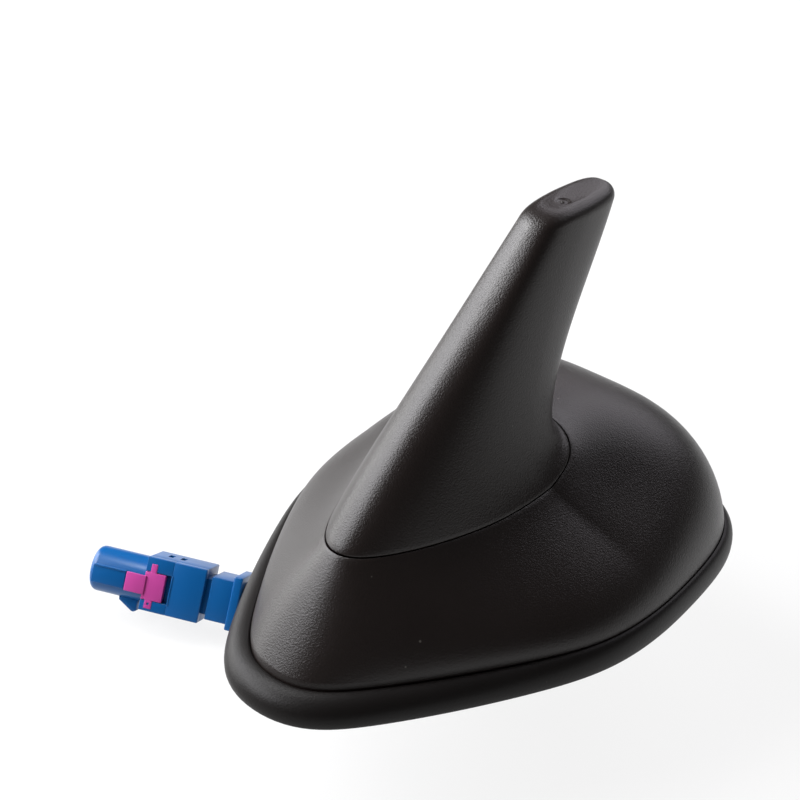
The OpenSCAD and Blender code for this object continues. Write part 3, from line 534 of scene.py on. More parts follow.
COVER_FRONT = guide((NOSE, CREASE_Z), SEAM_FRONT, (52, SEAM_SLOPES[0]), (0.33, 0.33))
COVER_SIDE = guide((FLANK, CREASE_Z), SEAM_SIDE, (79.2, SEAM_SLOPES[1]), (0.33, 0.34))
COVER_REAR = guide((TAIL, CREASE_Z), SEAM_REAR, (77, SEAM_SLOPES[2]), (0.69, 0.2))
FIN_FRONT = guide(SEAM_FRONT, under_tip(TIP_FRONT), (SEAM_SLOPES[0], TIP_SLOPES[0]), (0.33, 0.33))
FIN_SIDE = guide(SEAM_SIDE, under_tip(TIP_SIDE), (SEAM_SLOPES[1], TIP_SLOPES[1]), (0.21, 0.21))
FIN_REAR = guide(SEAM_REAR, under_tip(TIP_REAR), (SEAM_SLOPES[2], TIP_SLOPES[2]), (0.22, 0.49))
SEAM_WIDE = (SEAM_WIDEST + SEAM_FRONT[0]) / (SEAM_REAR[0] + SEAM_FRONT[0])


def cover_ring(t, d=0.0):
    """The cover's section at the share t from its crease to the seam, d inside its skin."""
    return egg_ring(inset(COVER_FRONT, t, d), inset(COVER_SIDE, t, d), inset(COVER_REAR, t, d),
                    mix(COVER_WIDEST, SEAM_WIDEST, t), mix3(*FLANK_SHAPE, t), mix(*NOSE_SHAPE, t), TAIL_SHAPE)


def fin_ring(t, d=0.0, grow=0.0, dz=0.0):
    """The fin's section at the share t from the seam to the tip's edge."""
    front, rear = inset(FIN_FRONT, t, d), inset(FIN_REAR, t, d)
    return egg_ring(front, inset(FIN_SIDE, t, d), rear,
                    mix(SEAM_WIDE, 0.5, t) * (rear[0] + front[0]) - front[0],
                    mix3(*FIN_FLANK_SHAPE, t), mix3(*FIN_NOSE_SHAPE, t), mix(TAIL_SHAPE, TIP_SHAPE, t), grow, dz)


def flat(points, z):
    return [Vector((p.x, p.y, z)) for p in points]


def swell(points, widths, z):
    """The outline moved outwards, each point square to its neighbours."""
    moved = []
    for i, point in enumerate(points):
        d = points[(i + 1) % SIDES] - points[i - 1]
        out = Vector((d.y, -d.x)).normalized()
        moved.append(Vector((point.x + out.x * widths[i], point.y + out.y * widths[i], z)))
    return moved


# ---- Cover and fin ----

COVER_STEPS, FIN_STEPS, TIP_STEPS = 36, 60, 14
LUG_AT = (24, 66, 126, 168)          # the screw lugs' places among the sides
LUG_SPREAD, LUG_DEPTH = 7.5, 10.5
LUG_T, LUG_SHARE = 0.3402, 0.04      # how far up a lug reaches, and its least share of the depth
SKIRT, SKIRT_WALL = 5.0, 1.4
SEAM_PLAY = 0.25                     # clearance between the skirt and the cover's opening
SNAP, SNAP_TOP, SNAP_END = 0.6, 1.4, 2
SEAM_ROUND = ((0, 0.25), (0.001, 0.07))     # the fin's lower edge, as share and depth
SKIN_START = 0.0045                  # how far above the seam the fin's plain skin starts, as a share
GATE = (19.9, -0.6)                  # the gate mark's place on the tip, and its profile as radius and rise
GATE_PROFILE = ((1.6, 0), (1.35, -0.03), (1.2, -0.16), (1.0, -0.24), (0.62, -0.26), (0.45, -0.2), (0.34, -0.02),
                (0.2, 0.03))


def lugged(t):
    """The cover's inner wall, led inwards at the four screw lugs."""
    points = []
    for i, (thin, deep) in enumerate(zip(cover_ring(t, COVER_WALL), cover_ring(t, LUG_DEPTH))):
        share = max([LUG_SHARE] + [1 - abs((i - k) / LUG_SPREAD) ** 2 for k in LUG_AT])
        points.append(Vector((mix(thin.x, deep.x, share), mix(thin.y, deep.y, share), thin.z)))
    return points


def make_cover(material):
    """The hollow cover, from its foot over the seam's rounded edge and back down inside."""
    bm = bmesh.new()
    outer = [cover_ring(i / COVER_STEPS) for i in range(COVER_STEPS)]
    lip = [cover_ring(0.9945, 0.01), cover_ring(0.998, 0.06), cover_ring(1.0, 0.22)]
    inner = [cover_ring(t, COVER_WALL) for t in (1.0, 0.84, 0.68, 0.52)]
    foot = flat(cover_ring(0, COVER_WALL), PLATE_TOP)
    inner += [lugged(LUG_T), lugged(LUG_T / 3), flat(lugged(0), PLATE_TOP), foot, flat(foot, WEB_T)]
    loft(bm, [flat(outer[0], WEB_T)] + outer + lip + inner, closed=True)
    return finish_piece("cover_skin", bm, material, "cover_black", "base_cover")


def tip_ring(share):
    """The edge round the tip: each guide bends over on its own radius until it lies level."""
    ends = []
    for (reach, z), slope in zip((TIP_FRONT, TIP_SIDE, TIP_REAR), TIP_SLOPES):
        start = radians(slope)
        now = start * (1 - share)
        bend = TIP_EDGE / (1 - cos(start))
        ends.append((reach - bend * (sin(start) - sin(now)), z - TIP_EDGE + bend * (cos(now) - cos(start))))
    middle = (TIP_REAR[0] - TIP_FRONT[0]) / 2
    return egg_ring(*ends, middle, TIP_SHAPE, TIP_SHAPE, TIP_SHAPE)


def tip_face(rim):
    """The tip's top closes on the small round gate mark."""
    slope = (TIP_REAR[1] - TIP_FRONT[1]) / (TIP_REAR[0] + TIP_FRONT[0])
    gate = Vector((*GATE, TIP_FRONT[1] + slope * (GATE[0] + TIP_FRONT[0])))
    turns = directions(SIDES)
    start = [gate + GATE_PROFILE[0][0] * turn for turn in turns]
    rings = [[mix(p, s, share) for p, s in zip(rim, start)] for share in (0.25, 0.5, 0.75, 0.92)]
    return rings + [[gate + radius * turn + Vector((0, 0, rise)) for turn in turns] for radius, rise in GATE_PROFILE]


def make_fin(material):
    """The hollow fin: inside, skirt with its snap bead, seam edge, skin and tip."""
    bm = bmesh.new()
    opening = COVER_WALL + SEAM_PLAY
    inside = [fin_ring(t, FIN_WALL) for t in (0.94, 0.86, 0.74, 0.6, 0.45, 0.3, 0.18, 0.08)]
    clip = [fin_ring(SEAM_START, opening, grow, dz - SKIRT) for grow, dz in
            ((-SKIRT_WALL, SKIRT), (-SKIRT_WALL, 0), (0, 0), (SNAP, SNAP), (SNAP, SNAP_TOP), (0, SNAP_END),
             (0, SKIRT))]
    edge = [fin_ring(SEAM_START + share, depth) for share, depth in SEAM_ROUND]
    blade = [fin_ring(mix(SEAM_START + SKIN_START, 1, i / FIN_STEPS)) for i in range(FIN_STEPS + 1)]
    tip = [tip_ring(k / TIP_STEPS) for k in range(1, TIP_STEPS + 1)]
    loft(bm, inside + clip + edge + blade + tip + tip_face(tip[-1]))
    return finish_piece("fin_skin", bm, material, "cover_black", "fin_shell", sharp=50)


# ---- Gasket ----

LIP_WIDTHS = (4.9, 1.8, 3.6)         # at the nose, the sides and the tail
LIP_H, LIP_FOOT = 5.1, 1.3           # heights where the lip meets the cover and where its round begins
LIP_ROUND, LIP_GROOVE = 1.9, 0.1
LIP_UNDER = ((0.86, 0), (0.92, 0.06), (0.965, 0.25), (0.99, 0.6))    # share of the width, height
WEB_STEP = 0.4                       # how far the web's underside lies above the roof
WEB_HOLE = 11                        # radius of the web's hole for the stud
WEB_GROOVE = (21.6, 21.3, 20.9, 20.6)    # the groove's edges and floor, inwards from the crease
WEB_GROOVE_DEPTH = 0.3


def make_gasket(material):
    """The gasket: a web under the plate with a groove, and the lip that rolls up to the cover."""
    bm = bmesh.new()
    crease = cover_ring(0)
    width = [around(*LIP_WIDTHS, 2 * pi * i / SIDES) for i in range(SIDES)]
    turns = directions(SIDES)
    sections = [[WEB_HOLE * turn + Vector((0, 0, z)) for turn in turns] for z in (WEB_T, WEB_STEP + 0.15)]
    sections += [[(WEB_HOLE + 0.15) * turn + Vector((0, 0, WEB_STEP)) for turn in turns]]
    sections += [flat(cover_ring(0, 26), WEB_STEP)]
    for i, reach in enumerate(WEB_GROOVE):
        ring = flat(cover_ring(0, reach), WEB_STEP)
        if i in (1, 2):
            for point in ring:
                point.z -= WEB_GROOVE_DEPTH
        sections.append(ring)
    sections += [flat(cover_ring(0, 5.8), WEB_STEP), flat(cover_ring(0, 5.5), 0.06), flat(cover_ring(0, 5.3), 0)]
    sections += [swell(crease, [share * w for w in width], z) for share, z in LIP_UNDER]
    for k in range(0, 91, 5):
        out, up = cos(radians(k)) ** (2 / LIP_ROUND), sin(radians(k)) ** (2 / LIP_ROUND)
        sections.append(swell(crease, [w * mix(LIP_GROOVE, 1, out) for w in width], mix(LIP_FOOT, LIP_H, up)))
    sections += [swell(crease, [0.05] * SIDES, LIP_H - 0.35), swell(crease, [0.05] * SIDES, WEB_T)]
    loft(bm, sections, closed=True)
    return finish_piece("gasket_lip", bm, material, "gasket_rubber", "roof_gasket", sharp=60)


# ---- Fixings under the roof ----

STUD_R, STUD_BORE_R = 7.0, 3.5
STUD_DROP, STUD_SEAT, STUD_TOP = 12.0, 3.1, 6.6    # its reach below the roof, then its head's two faces
STUD_CHAMFER = 0.4
PITCH, THREAD_DEPTH = 1.25, 0.55
THREAD_TOP, RUN_OUT, LEAD_IN = 0.6, 1.2, 1.0       # where the thread ends, how it fades there and at its start
CREST, RAMP = 0.12, 0.76                           # shares of the pitch that are flat, and that slope
STUD_AF, STUD_CORNER = 19.0, 10.97                 # across flats, and radius of the turned corners
NUT_AF, NUT_CORNER = 22.0, 12.65
NUT_Z, WASHER_Z = -8.7, -2.7                       # undersides
NUT_FLANGE, NUT_FLANGE_R, NUT_TEETH, NUT_TOOTH = 1.4, 13.0, 40, 0.1
WASHER_T, WASHER_R, WASHER_STEPS = 1.5, 13.5, 384
CLAWS, CLAW_HALF, NOTCH_R = 8, 1.2, 1.5
UPRIGHT = (0, 0, 1)


def turned(radius_at, heights, steps=96):
    """Sections about the stud's axis, with the radius given for each height and direction."""
    angles = [2 * pi * i / steps for i in range(steps)]
    sections = []
    for z in heights:
        radii = [radius_at(z, a) for a in angles]
        sections.append([Vector((r * cos(a), r * sin(a), z)) for r, a in zip(radii, angles)])
    return sections


def cylinder(radius, *heights, steps=96):
    return turned(lambda z, a: radius, heights, steps)


def hexagon(across_flats, corner):
    """Radius of a hexagon at a direction, with its corners turned off at a larger radius."""
    def radius(z, a):
        turn = (a + pi / 6) % (pi / 3) - pi / 6
        return min(across_flats / 2 / cos(turn), corner(z))
    return radius


def thread(z, a):
    """The stud's screw thread, which runs out under its head and fades at its lower end."""
    climb = (z / PITCH - a / (2 * pi)) % 1.0
    ridge = abs(climb * 2 - 1)
    depth = THREAD_DEPTH * min(1, max(0, (THREAD_TOP - z) / RUN_OUT))
    lead_in = max(0, LEAD_IN - STUD_DROP - z)
    return STUD_R - 0.02 - depth * min(1, max(0, (ridge - CREST) / RAMP)) - lead_in


def make_stud(material):
    bm = bmesh.new()
    head = hexagon(STUD_AF, lambda z: STUD_CORNER - max(0, z - STUD_TOP + 0.5) * 1.3)
    shank = [-STUD_DROP + k * PITCH / 8 for k in range(int((STUD_DROP + 1) * 8 / PITCH) + 1)]
    sections = cylinder(STUD_BORE_R, STUD_TOP - STUD_CHAMFER, 0.0, -STUD_DROP + STUD_CHAMFER)
    sections += cylinder(STUD_BORE_R + STUD_CHAMFER, -STUD_DROP)
    sections += turned(thread, shank)
    sections += cylinder(STUD_R, 1.4, STUD_SEAT)
    sections += turned(lambda z, a: head(z, a) - 0.15, (STUD_SEAT,))
    sections += turned(head, (STUD_SEAT + 0.15, STUD_TOP - 0.5, STUD_TOP - 0.25, STUD_TOP))
    sections += cylinder(8.4, STUD_TOP) + cylinder(STUD_BORE_R + STUD_CHAMFER, STUD_TOP)
    loft(bm, sections, closed=True)
    return finish_piece("stud_turned", bm, material, "plated_steel", "fixing_stud", sharp=30)


def serration(z, a):
    """The nut's flange, with fine teeth round its rim."""
    return NUT_FLANGE_R - NUT_TOOTH * abs((a * NUT_TEETH / pi) % 2 - 1)


def make_nut(material):
    bm = bmesh.new()
    corner = hexagon(NUT_AF, lambda z: NUT_CORNER - max(0, NUT_Z + 0.7 - z) * 1.6)
    flange = WASHER_Z - NUT_FLANGE
    sections = cylinder(STUD_R + 0.05, WASHER_Z, NUT_Z + 0.6) + cylinder(STUD_R + 0.75, NUT_Z)
    sections += cylinder(10.6, NUT_Z)
    sections += turned(corner, (NUT_Z, NUT_Z + 0.35, NUT_Z + 0.7, flange - 0.35))
    sections += turned(lambda z, a: max(corner(z, a), 11.6), (flange - 0.1,))
    sections += cylinder(12.6, flange + 0.1)
    sections += turned(serration, (flange + 0.45, WASHER_Z - 0.15))
    sections += cylinder(12.8, WASHER_Z)
    loft(bm, sections, closed=True)
    return finish_piece("nut_flanged", bm, material, "plated_steel", "fixing_nut", sharp=30)


def washer_rim(z, a):
    """The washer's outline, with a round notch between each two claws."""
    half = pi / CLAWS
    turn = (a - half) % (2 * half) - half
    away = abs(turn - half if turn > 0 else turn + half) * WASHER_R
    notch = (NOTCH_R ** 2 - away ** 2) ** 0.5 if away < NOTCH_R else 0
    return WASHER_R - notch


def make_washer(material):
    bm = bmesh.new()
    top = WASHER_Z + WASHER_T
    sections = cylinder(STUD_R + 0.1, top, WASHER_Z, steps=WASHER_STEPS)
    sections += turned(lambda z, a: washer_rim(z, a) - 0.2, (WASHER_Z,), WASHER_STEPS)
    sections += turned(washer_rim, (WASHER_Z + 0.2, top - 0.2), WASHER_STEPS)
    sections += turned(lambda z, a: washer_rim(z, a) - 0.2, (top,), WASHER_STEPS)
    loft(bm, sections, closed=True)
    for i in range(CLAWS):
        tooth = bmesh.new()
        plate(tooth, [(11.1, top - 0.2), (11.1, top), (13.1, top + 0.7), (13.4, top + 0.66), (13.4, top - 0.2)],
              (-CLAW_HALF, CLAW_HALF), 0.12)
        bmesh.ops.rotate(tooth, verts=tooth.verts, matrix=Matrix.Rotation(radians(360 / CLAWS * i), 3, "Z"))
        mesh = bpy.data.meshes.new("tooth")
        tooth.to_mesh(mesh)
        bm.from_mesh(mesh)
        tooth.free()
    return finish_piece("washer_clawed", bm, material, "plated_steel", "claw_washer", sharp=30)


def make_stud_seal(material):
    bm = bmesh.new()
    lathe(bm, [(7.05, 0.2), (7.3, 0.12), (8.6, 0.12), (8.9, 0.3), (9.2, 0.3), (9.5, 0.02), (10.2, 0.0),
               (10.45, 0.08), (10.8, 0.36), (10.88, 0.5), (10.88, 1.6), (7.05, 1.6)], UPRIGHT, 96)
    return finish_piece("seal_ribbed", bm, material, "seal_rubber", "stud_seal", sharp=50)


def make_bush(material):
    bm = bmesh.new()
    lead = LEAD_D / 2 + 0.05
    head = [(lead, -5.0), (3.0, -5.0), (3.15, -5.1)]
    ribs = [(3.45, -5.9), (3.45, -6.6), (3.25, -6.8), (3.25, -7.4), (3.45, -7.6), (3.45, -8.4), (3.25, -8.6),
            (3.25, -9.4), (3.45, -9.6), (3.45, -11.97)]
    collar = [(4.75, -12.0), (4.9, -12.15), (4.9, -12.75), (4.75, -12.95), (3.4, -13.1), (2.7, -13.5),
              (2.25, -13.97), (2.1, -14.0), (lead, -14.0)]
    lathe(bm, head + ribs + collar, UPRIGHT, 96)
    return finish_piece("bush_ribbed", bm, material, "seal_rubber", "stud_bush", sharp=50)


# ---- The lead, then the plug in its own frame: X to the mouth, Y to the lock, Z to its top ----

LEAD_D, LEAD_SIDES = 2.9, 24
LEAD_ROUTE = [(0, 0, -14), (0, 0, -16), (-0.1, 0.2, -18.2), (-0.4, 0.9, -20.4), (-1, 2.1, -22.4),
              (-1.9, 3.9, -24.1), (-3, 6.2, -25.3), (-4.3, 9, -25.9), (-5.8, 12.2, -26), (-7.3, 15.2, -25.6),
              (-8.8, 18.4, -24.7), (-10.1, 21.6, -23.3), (-11.3, 24.9, -21.9), (-12.5, 28.1, -21),
              (-13.42, 29.93, -20.78), (-15.26, 33.48, -20.56), (-17.56, 37.91, -20.29)]
PLUG_HEADING, PLUG_FALL, PLUG_ROLL = 117.4, -3.1, 28.8
PLUG = (Matrix.Translation(Vector(LEAD_ROUTE[-1]) * MM) @ Matrix.Rotation(radians(PLUG_HEADING), 4, "Z")
        @ Matrix.Rotation(radians(PLUG_FALL), 4, "Y") @ Matrix.Rotation(radians(PLUG_ROLL), 4, "X"))
ALONG = (1, 0, 0)


def smooth_route(points, steps):
    """A smooth curve through the points, with as many steps to each stretch."""
    route = [Vector(p) for p in points]
    line = []
    for i in range(len(route) - 1):
        a, b, c, d = route[max(i - 1, 0)], route[i], route[i + 1], route[min(i + 2, len(route) - 1)]
        for k in range(steps):
            t = k / steps
            line.append(0.5 * (2 * b + (c - a) * t + (2 * a - 5 * b + 4 * c - d) * t * t
                               + (3 * b - a - 3 * c + d) * t ** 3))
    return line + [route[-1]]


def make_lead(material):
    """The free lead, a tube along its route from the stud down to the plug."""
    line = smooth_route(LEAD_ROUTE, 6)
    last = len(line) - 1
    bm = bmesh.new()
    sections = []
    for i, point in enumerate(line):
        way = (line[min(i + 1, last)] - line[max(i - 1, 0)]).normalized()
        if i == 0:
            way = Vector((0, 0, -1))
        if i == last:
            way = (PLUG.to_3x3() @ Vector(ALONG)).normalized()
        side = Vector((1, 0, 0)).cross(way).normalized()
        turns = [2 * pi * k / LEAD_SIDES for k in range(LEAD_SIDES)]
        sections.append([point + LEAD_D / 2 * (side * cos(a) + way.cross(side) * sin(a)) for a in turns])
    loft(bm, sections)
    lead = finish_piece("coax_jacket", bm, material, "lead_jacket", "coax_lead", sharp=60)


FLANGE_X, NECK_X, BLOCK_X, BARREL_X, MOUTH_X = 3.0, 4.9, 10.7, 23.5, 35.5    # where each stretch starts
BLOCK_W, BLOCK_H = 9.8, 11.3
BARREL_R, BORE_R, MOUTH_R, MOUTH_DEPTH = 4.8, 2.9, 3.7, 7
LOCK_L, LOCK_H, LOCK_T, LOCK_Z, LOCK_SLOT = 4.5, 6.0, 1.3, -0.4, 1.2
PEG_L, PEG_H, PEG_X, PEG_FACE = 1.6, 1.8, 1.0, 0.8
PEG_HOLE = 0.5
TONGUE_L, TONGUE_H = 3.8, 4.0
POCKETS_BACK, POCKET_HALF, POCKET_Y, POCKET_DEPTH = (3.35, 6.0), 0.55, (-2.1, 0.3), 0.7
PROUD = 0.14                         # how far the raised ribs stand out


def plug_piece(name, bm, material, slot, node, sharp):
    """Takes a mesh from the plug's own frame to its place at the lead's end."""
    bmesh.ops.transform(bm, matrix=PLUG, verts=bm.verts)
    return finish_piece(name, bm, material, slot, node, sharp=sharp)


def make_housing(material):
    """The plug's blue body: rear flange, neck, block with two pockets, barrel, latch nose and ribs."""
    bm = bmesh.new()
    w, h = BLOCK_W / 2, BLOCK_H / 2
    slot_x = BARREL_X - LOCK_L - LOCK_SLOT
    lock_low, lock_high = LOCK_Z - LOCK_H / 2, LOCK_Z + LOCK_H / 2
    block(bm, (FLANGE_X, NECK_X), (-w, w), (-h, h), 0.3)
    block(bm, (NECK_X - 0.2, BLOCK_X - 1.2), (-w + 0.5, w - 0.5), (-h + 1.1, h - 1.1), 0.2)
    block(bm, (NECK_X, BLOCK_X + 0.3), (-w + 1.3, w - 1.3), (-h + 1.9, h - 1.9), 0.15)
    core = block(bm, (BLOCK_X, BARREL_X), (-w, w - LOCK_T), (-h, h), 0.22)
    for back in POCKETS_BACK:
        middle = BARREL_X - back
        core = sink(bm, core, (middle - POCKET_HALF, middle + POCKET_HALF), POCKET_Y, POCKET_DEPTH)
    block(bm, (BLOCK_X, slot_x), (w - LOCK_T - 0.3, w), (-h, h), 0.2)
    block(bm, (slot_x - 0.35, slot_x), (w - 0.3, w + PROUD), (lock_low - 0.1, lock_high + 0.1), 0.12)
    for z in ((-h, lock_low), (lock_high, h)):
        block(bm, (slot_x - 0.1, BARREL_X), (w - LOCK_T - 0.3, w), z, 0.15)
    lathe(bm, [(BARREL_X - 0.3, BORE_R), (BARREL_X - 0.3, BARREL_R), (MOUTH_X - 1.3, BARREL_R),
               (MOUTH_X - 0.9, BARREL_R - 0.06), (MOUTH_X - 0.5, BARREL_R - 0.25),
               (MOUTH_X - 0.2, BARREL_R - 0.55), (MOUTH_X, BARREL_R - 0.9), (MOUTH_X, 3.8),
               (MOUTH_X - 0.1, MOUTH_R), (MOUTH_X - MOUTH_DEPTH, MOUTH_R), (MOUTH_X - MOUTH_DEPTH, BORE_R)], ALONG)
    plate(bm, [(BARREL_X + 1.5, -BARREL_R + 0.8), (BARREL_X + 1.25, -BARREL_R - 2.0),
               (BARREL_X + 1.9, -BARREL_R - 2.4), (BARREL_X + 2.4, -BARREL_R - 2.3),
               (BARREL_X + 5.4, -BARREL_R - 0.5), (BARREL_X + 5.6, -BARREL_R + 0.8)], (-1.6, 1.6), 0.15)
    strip_x = BARREL_X + TONGUE_L + 0.25
    block(bm, (strip_x, MOUTH_X - 0.8), (BARREL_R - 1.2, BARREL_R + PROUD), (LOCK_Z - 1.9, LOCK_Z + 1.9), 0.12)
    block(bm, (strip_x, MOUTH_X - 0.9), (BARREL_R - 1.6, BARREL_R + 0.3), (LOCK_Z + 1.6, LOCK_Z + 2.0), 0.14)
    return plug_piece("plug_body", bm, material, "plug_blue", "plug_housing", 35)


def make_lock(material):
    """Built lying on its back, then turned up to its side of the plug."""
    bm = bmesh.new()
    w, mid = BLOCK_W / 2, -LOCK_Z
    top, low, high = w + 0.15, mid - LOCK_H / 2, mid + LOCK_H / 2
    face = (w - PEG_FACE, top - 0.02)
    block(bm, (BARREL_X - LOCK_L, BARREL_X - 0.05), (low + 0.1, high - 0.1), (w - LOCK_T + 0.1, top), 0.14)
    foot = (BARREL_X - PEG_X - PEG_L, BARREL_X - PEG_X)
    block(bm, (foot[0] + 0.2, foot[1] - 0.1), (low - PEG_H + 0.1, mid), face, 0.12)
    peg = block(bm, foot, (mid, high + PEG_H - 0.1), face, 0.12)
    sink(bm, peg, (foot[0] + 0.55, foot[0] + 1.05), (high + 0.4, high + 0.9), PEG_HOLE)
    block(bm, (BARREL_X - 0.5, BARREL_X + TONGUE_L), (mid - TONGUE_H / 2, mid + TONGUE_H / 2),
          (BARREL_R + 0.05, BARREL_R + 0.6), 0.14)
    bmesh.ops.transform(bm, matrix=PLUG @ Matrix.Rotation(radians(-90), 4, "X"), verts=bm.verts)
    return finish_piece("plug_lock", bm, material, "lock_pink", "secondary_lock", sharp=35)


def make_boot(material):
    """The ribbed rubber behind the plug."""
    bm = bmesh.new()
    r = LEAD_D / 2
    lathe(bm, [(-9, r + 0.25), (-9, r + 0.8), (-8.8, r + 1.0), (-7.4, r + 1.15), (-7.3, r + 0.85), (-6.7, r + 0.9),
               (-6.6, r + 1.3), (-5.4, r + 1.5), (-5.3, r + 1.15), (-4.7, r + 1.25), (-4.6, r + 1.7),
               (-3.4, 3.5), (-2.4, 3.8), (-1, 4.15), (0, 4.2), (FLANGE_X, 4.2), (FLANGE_X, 2.4), (-0.2, 2.4),
               (-0.2, r + 0.25)], ALONG)
    return plug_piece("lead_boot", bm, material, "boot_rubber", "cable_boot", 40)


def make_contacts(shell_metal, white, gold):
    """The drawn shell, the insulator and the centre pin, as seen in the barrel's mouth."""
    shell = [(8, 2.3), (8, 2.75), (8.1, 2.8), (MOUTH_X - 3, 2.8), (MOUTH_X - 1.6, 2.8), (MOUTH_X - 1.2, 2.7),
             (MOUTH_X - 1, 2.55), (MOUTH_X - 1, 2.4), (MOUTH_X - 1.2, 2.3)]
    bead = [(10, 0.6), (10, 2.25), (MOUTH_X - 6.2, 2.25), (MOUTH_X - 6.0, 2.1), (MOUTH_X - 6.0, 1.3),
            (MOUTH_X - 6.5, 1.2), (MOUTH_X - 6.5, 0.6)]
    pin = [(7, 0.02), (7, 0.5), (7.1, 0.55), (MOUTH_X - 3.4, 0.55), (MOUTH_X - 2.7, 0.4), (MOUTH_X - 2.4, 0.2),
           (MOUTH_X - 2.35, 0.02)]
    pieces = []
    for name, profile, steps, material, slot, node in (
            ("shell_drawn", shell, 64, shell_metal, "tinned_metal", "contact_shell"),
            ("insulator_bead", bead, 64, white, "insulator_white", "insulator"),
            ("contact_pin", pin, 32, gold, "contact_brass", "centre_contact")):
        bm = bmesh.new()
        lathe(bm, profile, ALONG, steps)
        pieces.append(plug_piece(name, bm, material, slot, node, 40))
    return pieces


# ---- Floor and light ----

FLOOR_HALF = 60                      # metres from its middle to its edge
FLOOR_GAP = 0.0003                   # metres below the lead's lowest point
FLOOR_TONE, FLOOR_GLOW = 0.1, 0.86
WORLD_LIGHT, WORLD_SEEN = 0.1, 0.9   # strength as a light, and as the backdrop
CENTRE = (0, 0, 0.025)               # metres: the middle of the aerial, and of the plug
PLUG_CENTRE = (-0.0254, 0.053, -0.0194)
COOL, VIOLET = (0.97, 0.97, 1), (0.97, 0.93, 1)


def make_floor():
    """A pale floor that only the pictures have."""
    bm = bmesh.new()
    bmesh.ops.create_grid(bm, x_segments=1, y_segments=1, size=FLOOR_HALF)
    mesh = bpy.data.meshes.new("floor")
    bm.to_mesh(mesh)
    bm.free()
    floor = bpy.data.objects.new("floor", mesh)
    floor.location = (0, 0, cad_box[0][2] - FLOOR_GAP)
    bpy.context.collection.objects.link(floor)
    material, _, shader = new_finish("pale_floor", specular_ior_level=0.2)
    shader.inputs["Base Color"].default_value = (FLOOR_TONE, FLOOR_TONE, FLOOR_TONE, 1)
    shader.inputs["Roughness"].default_value = 0.9
    shader.inputs["Emission Color"].default_value = (1, 1, 1, 1)
    shader.inputs["Emission Strength"].default_value = FLOOR_GLOW
    mesh.materials.append(material)


def softbox(name, way, distance, size, watts, centre=CENTRE, tint=(1, 1, 1)):
    """A rectangular soft light, in metres and watts, that looks at its centre from the way given."""
    data = bpy.data.lights.new(name, "AREA")
    data.shape = "RECTANGLE"
    data.size, data.size_y = size
    data.energy = watts
    data.color = tint
    light = bpy.data.objects.new(name, data)
    way = Vector(way).normalized()
    light.location = Vector(centre) + way * distance
    light.rotation_euler = way.to_track_quat("Z", "Y").to_euler()
    bpy.context.collection.objects.link(light)


def make_light():
    """A white surround and four soft lights, from where the photograph's highlights come."""
    world = bpy.data.worlds.new("studio")
    world.use_nodes = True
    backdrop = world.node_tree.nodes["Background"]
    backdrop.inputs["Color"].default_value = (1, 1, 1, 1)
    seen = add_node(world.node_tree, "ShaderNodeLightPath").outputs["Is Camera Ray"]
    world.node_tree.links.new(span(world.node_tree, seen, WORLD_LIGHT, WORLD_SEEN), backdrop.inputs["Strength"])
    bpy.context.scene.world = world
    bpy.context.scene.view_settings.view_transform = "Standard"
    softbox("ridge_softbox", (-0.4, 0.68, 0.62), 0.9, (1.0, 0.54), 19, tint=COOL)
    softbox("left_softbox", (-0.22, 0.96, 0.12), 0.9, (0.8, 0.44), 7)
    softbox("rear_softbox", (0.79, 0.04, 0.61), 1.1, (1.15, 0.62), 6.3, tint=VIOLET)
    softbox("plug_softbox", (-0.06, 0.16, 0.987), 0.2, (0.06, 0.06), 0.17, PLUG_CENTRE)


# ---- The aerial ----

SILVER_FROM = 14.78                  # height of the ceramic patch's silver face

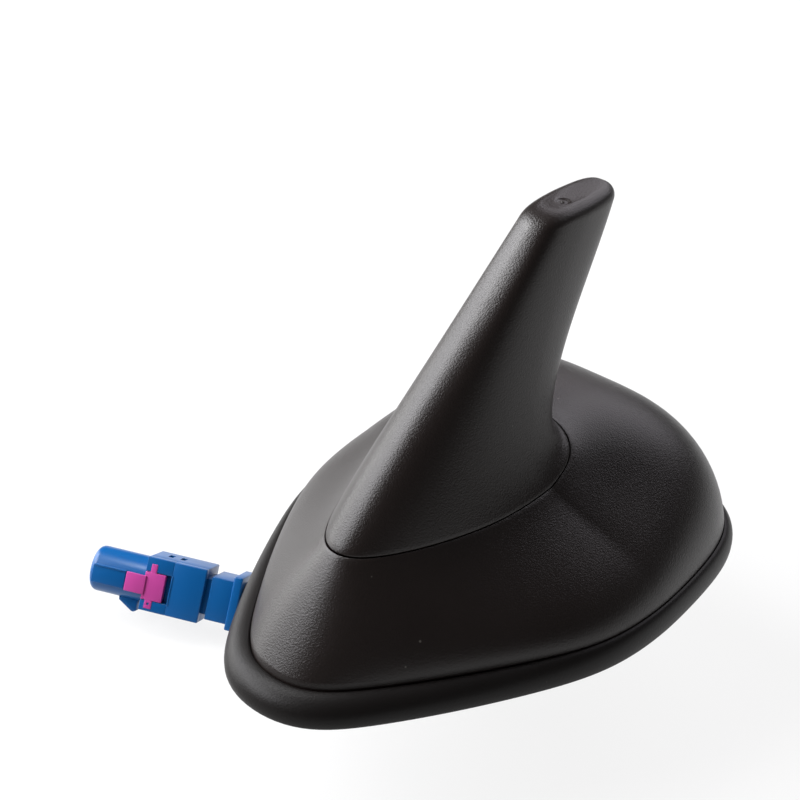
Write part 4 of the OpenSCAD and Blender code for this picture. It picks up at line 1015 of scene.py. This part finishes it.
make_camera()
steel = metal("plated_steel", (0.62, 0.62, 0.6), 0.28, 700, 0.000003, (0.6, 0.56, 0.46))
screw_steel = metal("screw_steel", (0.5, 0.5, 0.5), 0.3, 1400, 0.000002)
brass = metal("contact_brass", (0.78, 0.56, 0.22), 0.24, 1600, 0.000001, (0.7, 0.46, 0.2))
bronze = metal("spring_bronze", (0.72, 0.45, 0.2), 0.26, 1200, 0.000001)
tin = metal("tinned_metal", (0.7, 0.7, 0.68), 0.26, 500, 0.000002, (0.58, 0.58, 0.57))
seal = moulded("seal_rubber", (0.018, 0.018, 0.018), 0.58, 1200, 0.00001, dust=0.25)
pink = moulded("lock_pink", (0.4, 0.045, 0.235), 0.38, 1500, 0.000003, 0.06, specular_ior_level=0.25)
blue = moulded("plug_blue", (0.0002, 0.072, 0.235), 0.3, 1500, 0.000003, 0.08, specular_ior_level=0.35)
lead_black = moulded("lead_jacket", (0.012, 0.012, 0.012), 0.42, 900, 0.000008)
boot_black = moulded("boot_rubber", (0.01, 0.01, 0.01), 0.55, 1600, 0.00001)
white = moulded("insulator_white", (0.8, 0.8, 0.77), 0.42, 1200, 0.000003, 0.04, subsurface_weight=0.1)

boot = make_boot(boot_black)
housing = make_housing(blue)
lock = make_lock(pink)
contacts = make_contacts(tin, white, brass)
make_lead(lead_black)

black = moulded("satin_black", (0.0084, 0.0056, 0.0049), 0.34, 3300, 0.00007, 0.1, 0.2, specular_ior_level=0.34)
rubber = moulded("gasket_rubber", (0.006, 0.005, 0.0047), 0.42, 2700, 0.00004, 0.12, 0.4, specular_ior_level=0.16)
make_cover(black)
make_fin(black)
make_gasket(rubber)
make_stud(steel)
make_nut(steel)
make_washer(steel)
make_stud_seal(seal)
make_bush(seal)

cast = cast_metal("cast_plate")
green = circuit_board("board_green")
cream = moulded("holder_plastic", (0.66, 0.62, 0.52), 0.45, 1400, 0.000006)
chip = moulded("chip_black", (0.02, 0.02, 0.022), 0.5, 4000, 0.000008)
brown = moulded("filter_ceramic", (0.3, 0.2, 0.12), 0.5, 1800, 0.00001, 0.2)
for node, material in {
        "fin_seal": seal, "perimeter_seal": seal, "base_plate": cast, "cover_screws": screw_steel,
        "board_screws": screw_steel, "main_board": green, "fin_board": green, "board_holder": cream,
        "feed_spring": bronze, "patch_pad": foam("pad_foam"),
        "patch_antenna": patch_tile("patch_ceramic", SILVER_FROM), "patch_pin": tin, "shield_can": tin,
        "amplifier_chip": chip, "filter_block": brown, "coax_socket": brass, "lead_inside": lead_black,
        "crimp_ferrule": brass}.items():
    paint(node, material)

make_floor()
make_light()
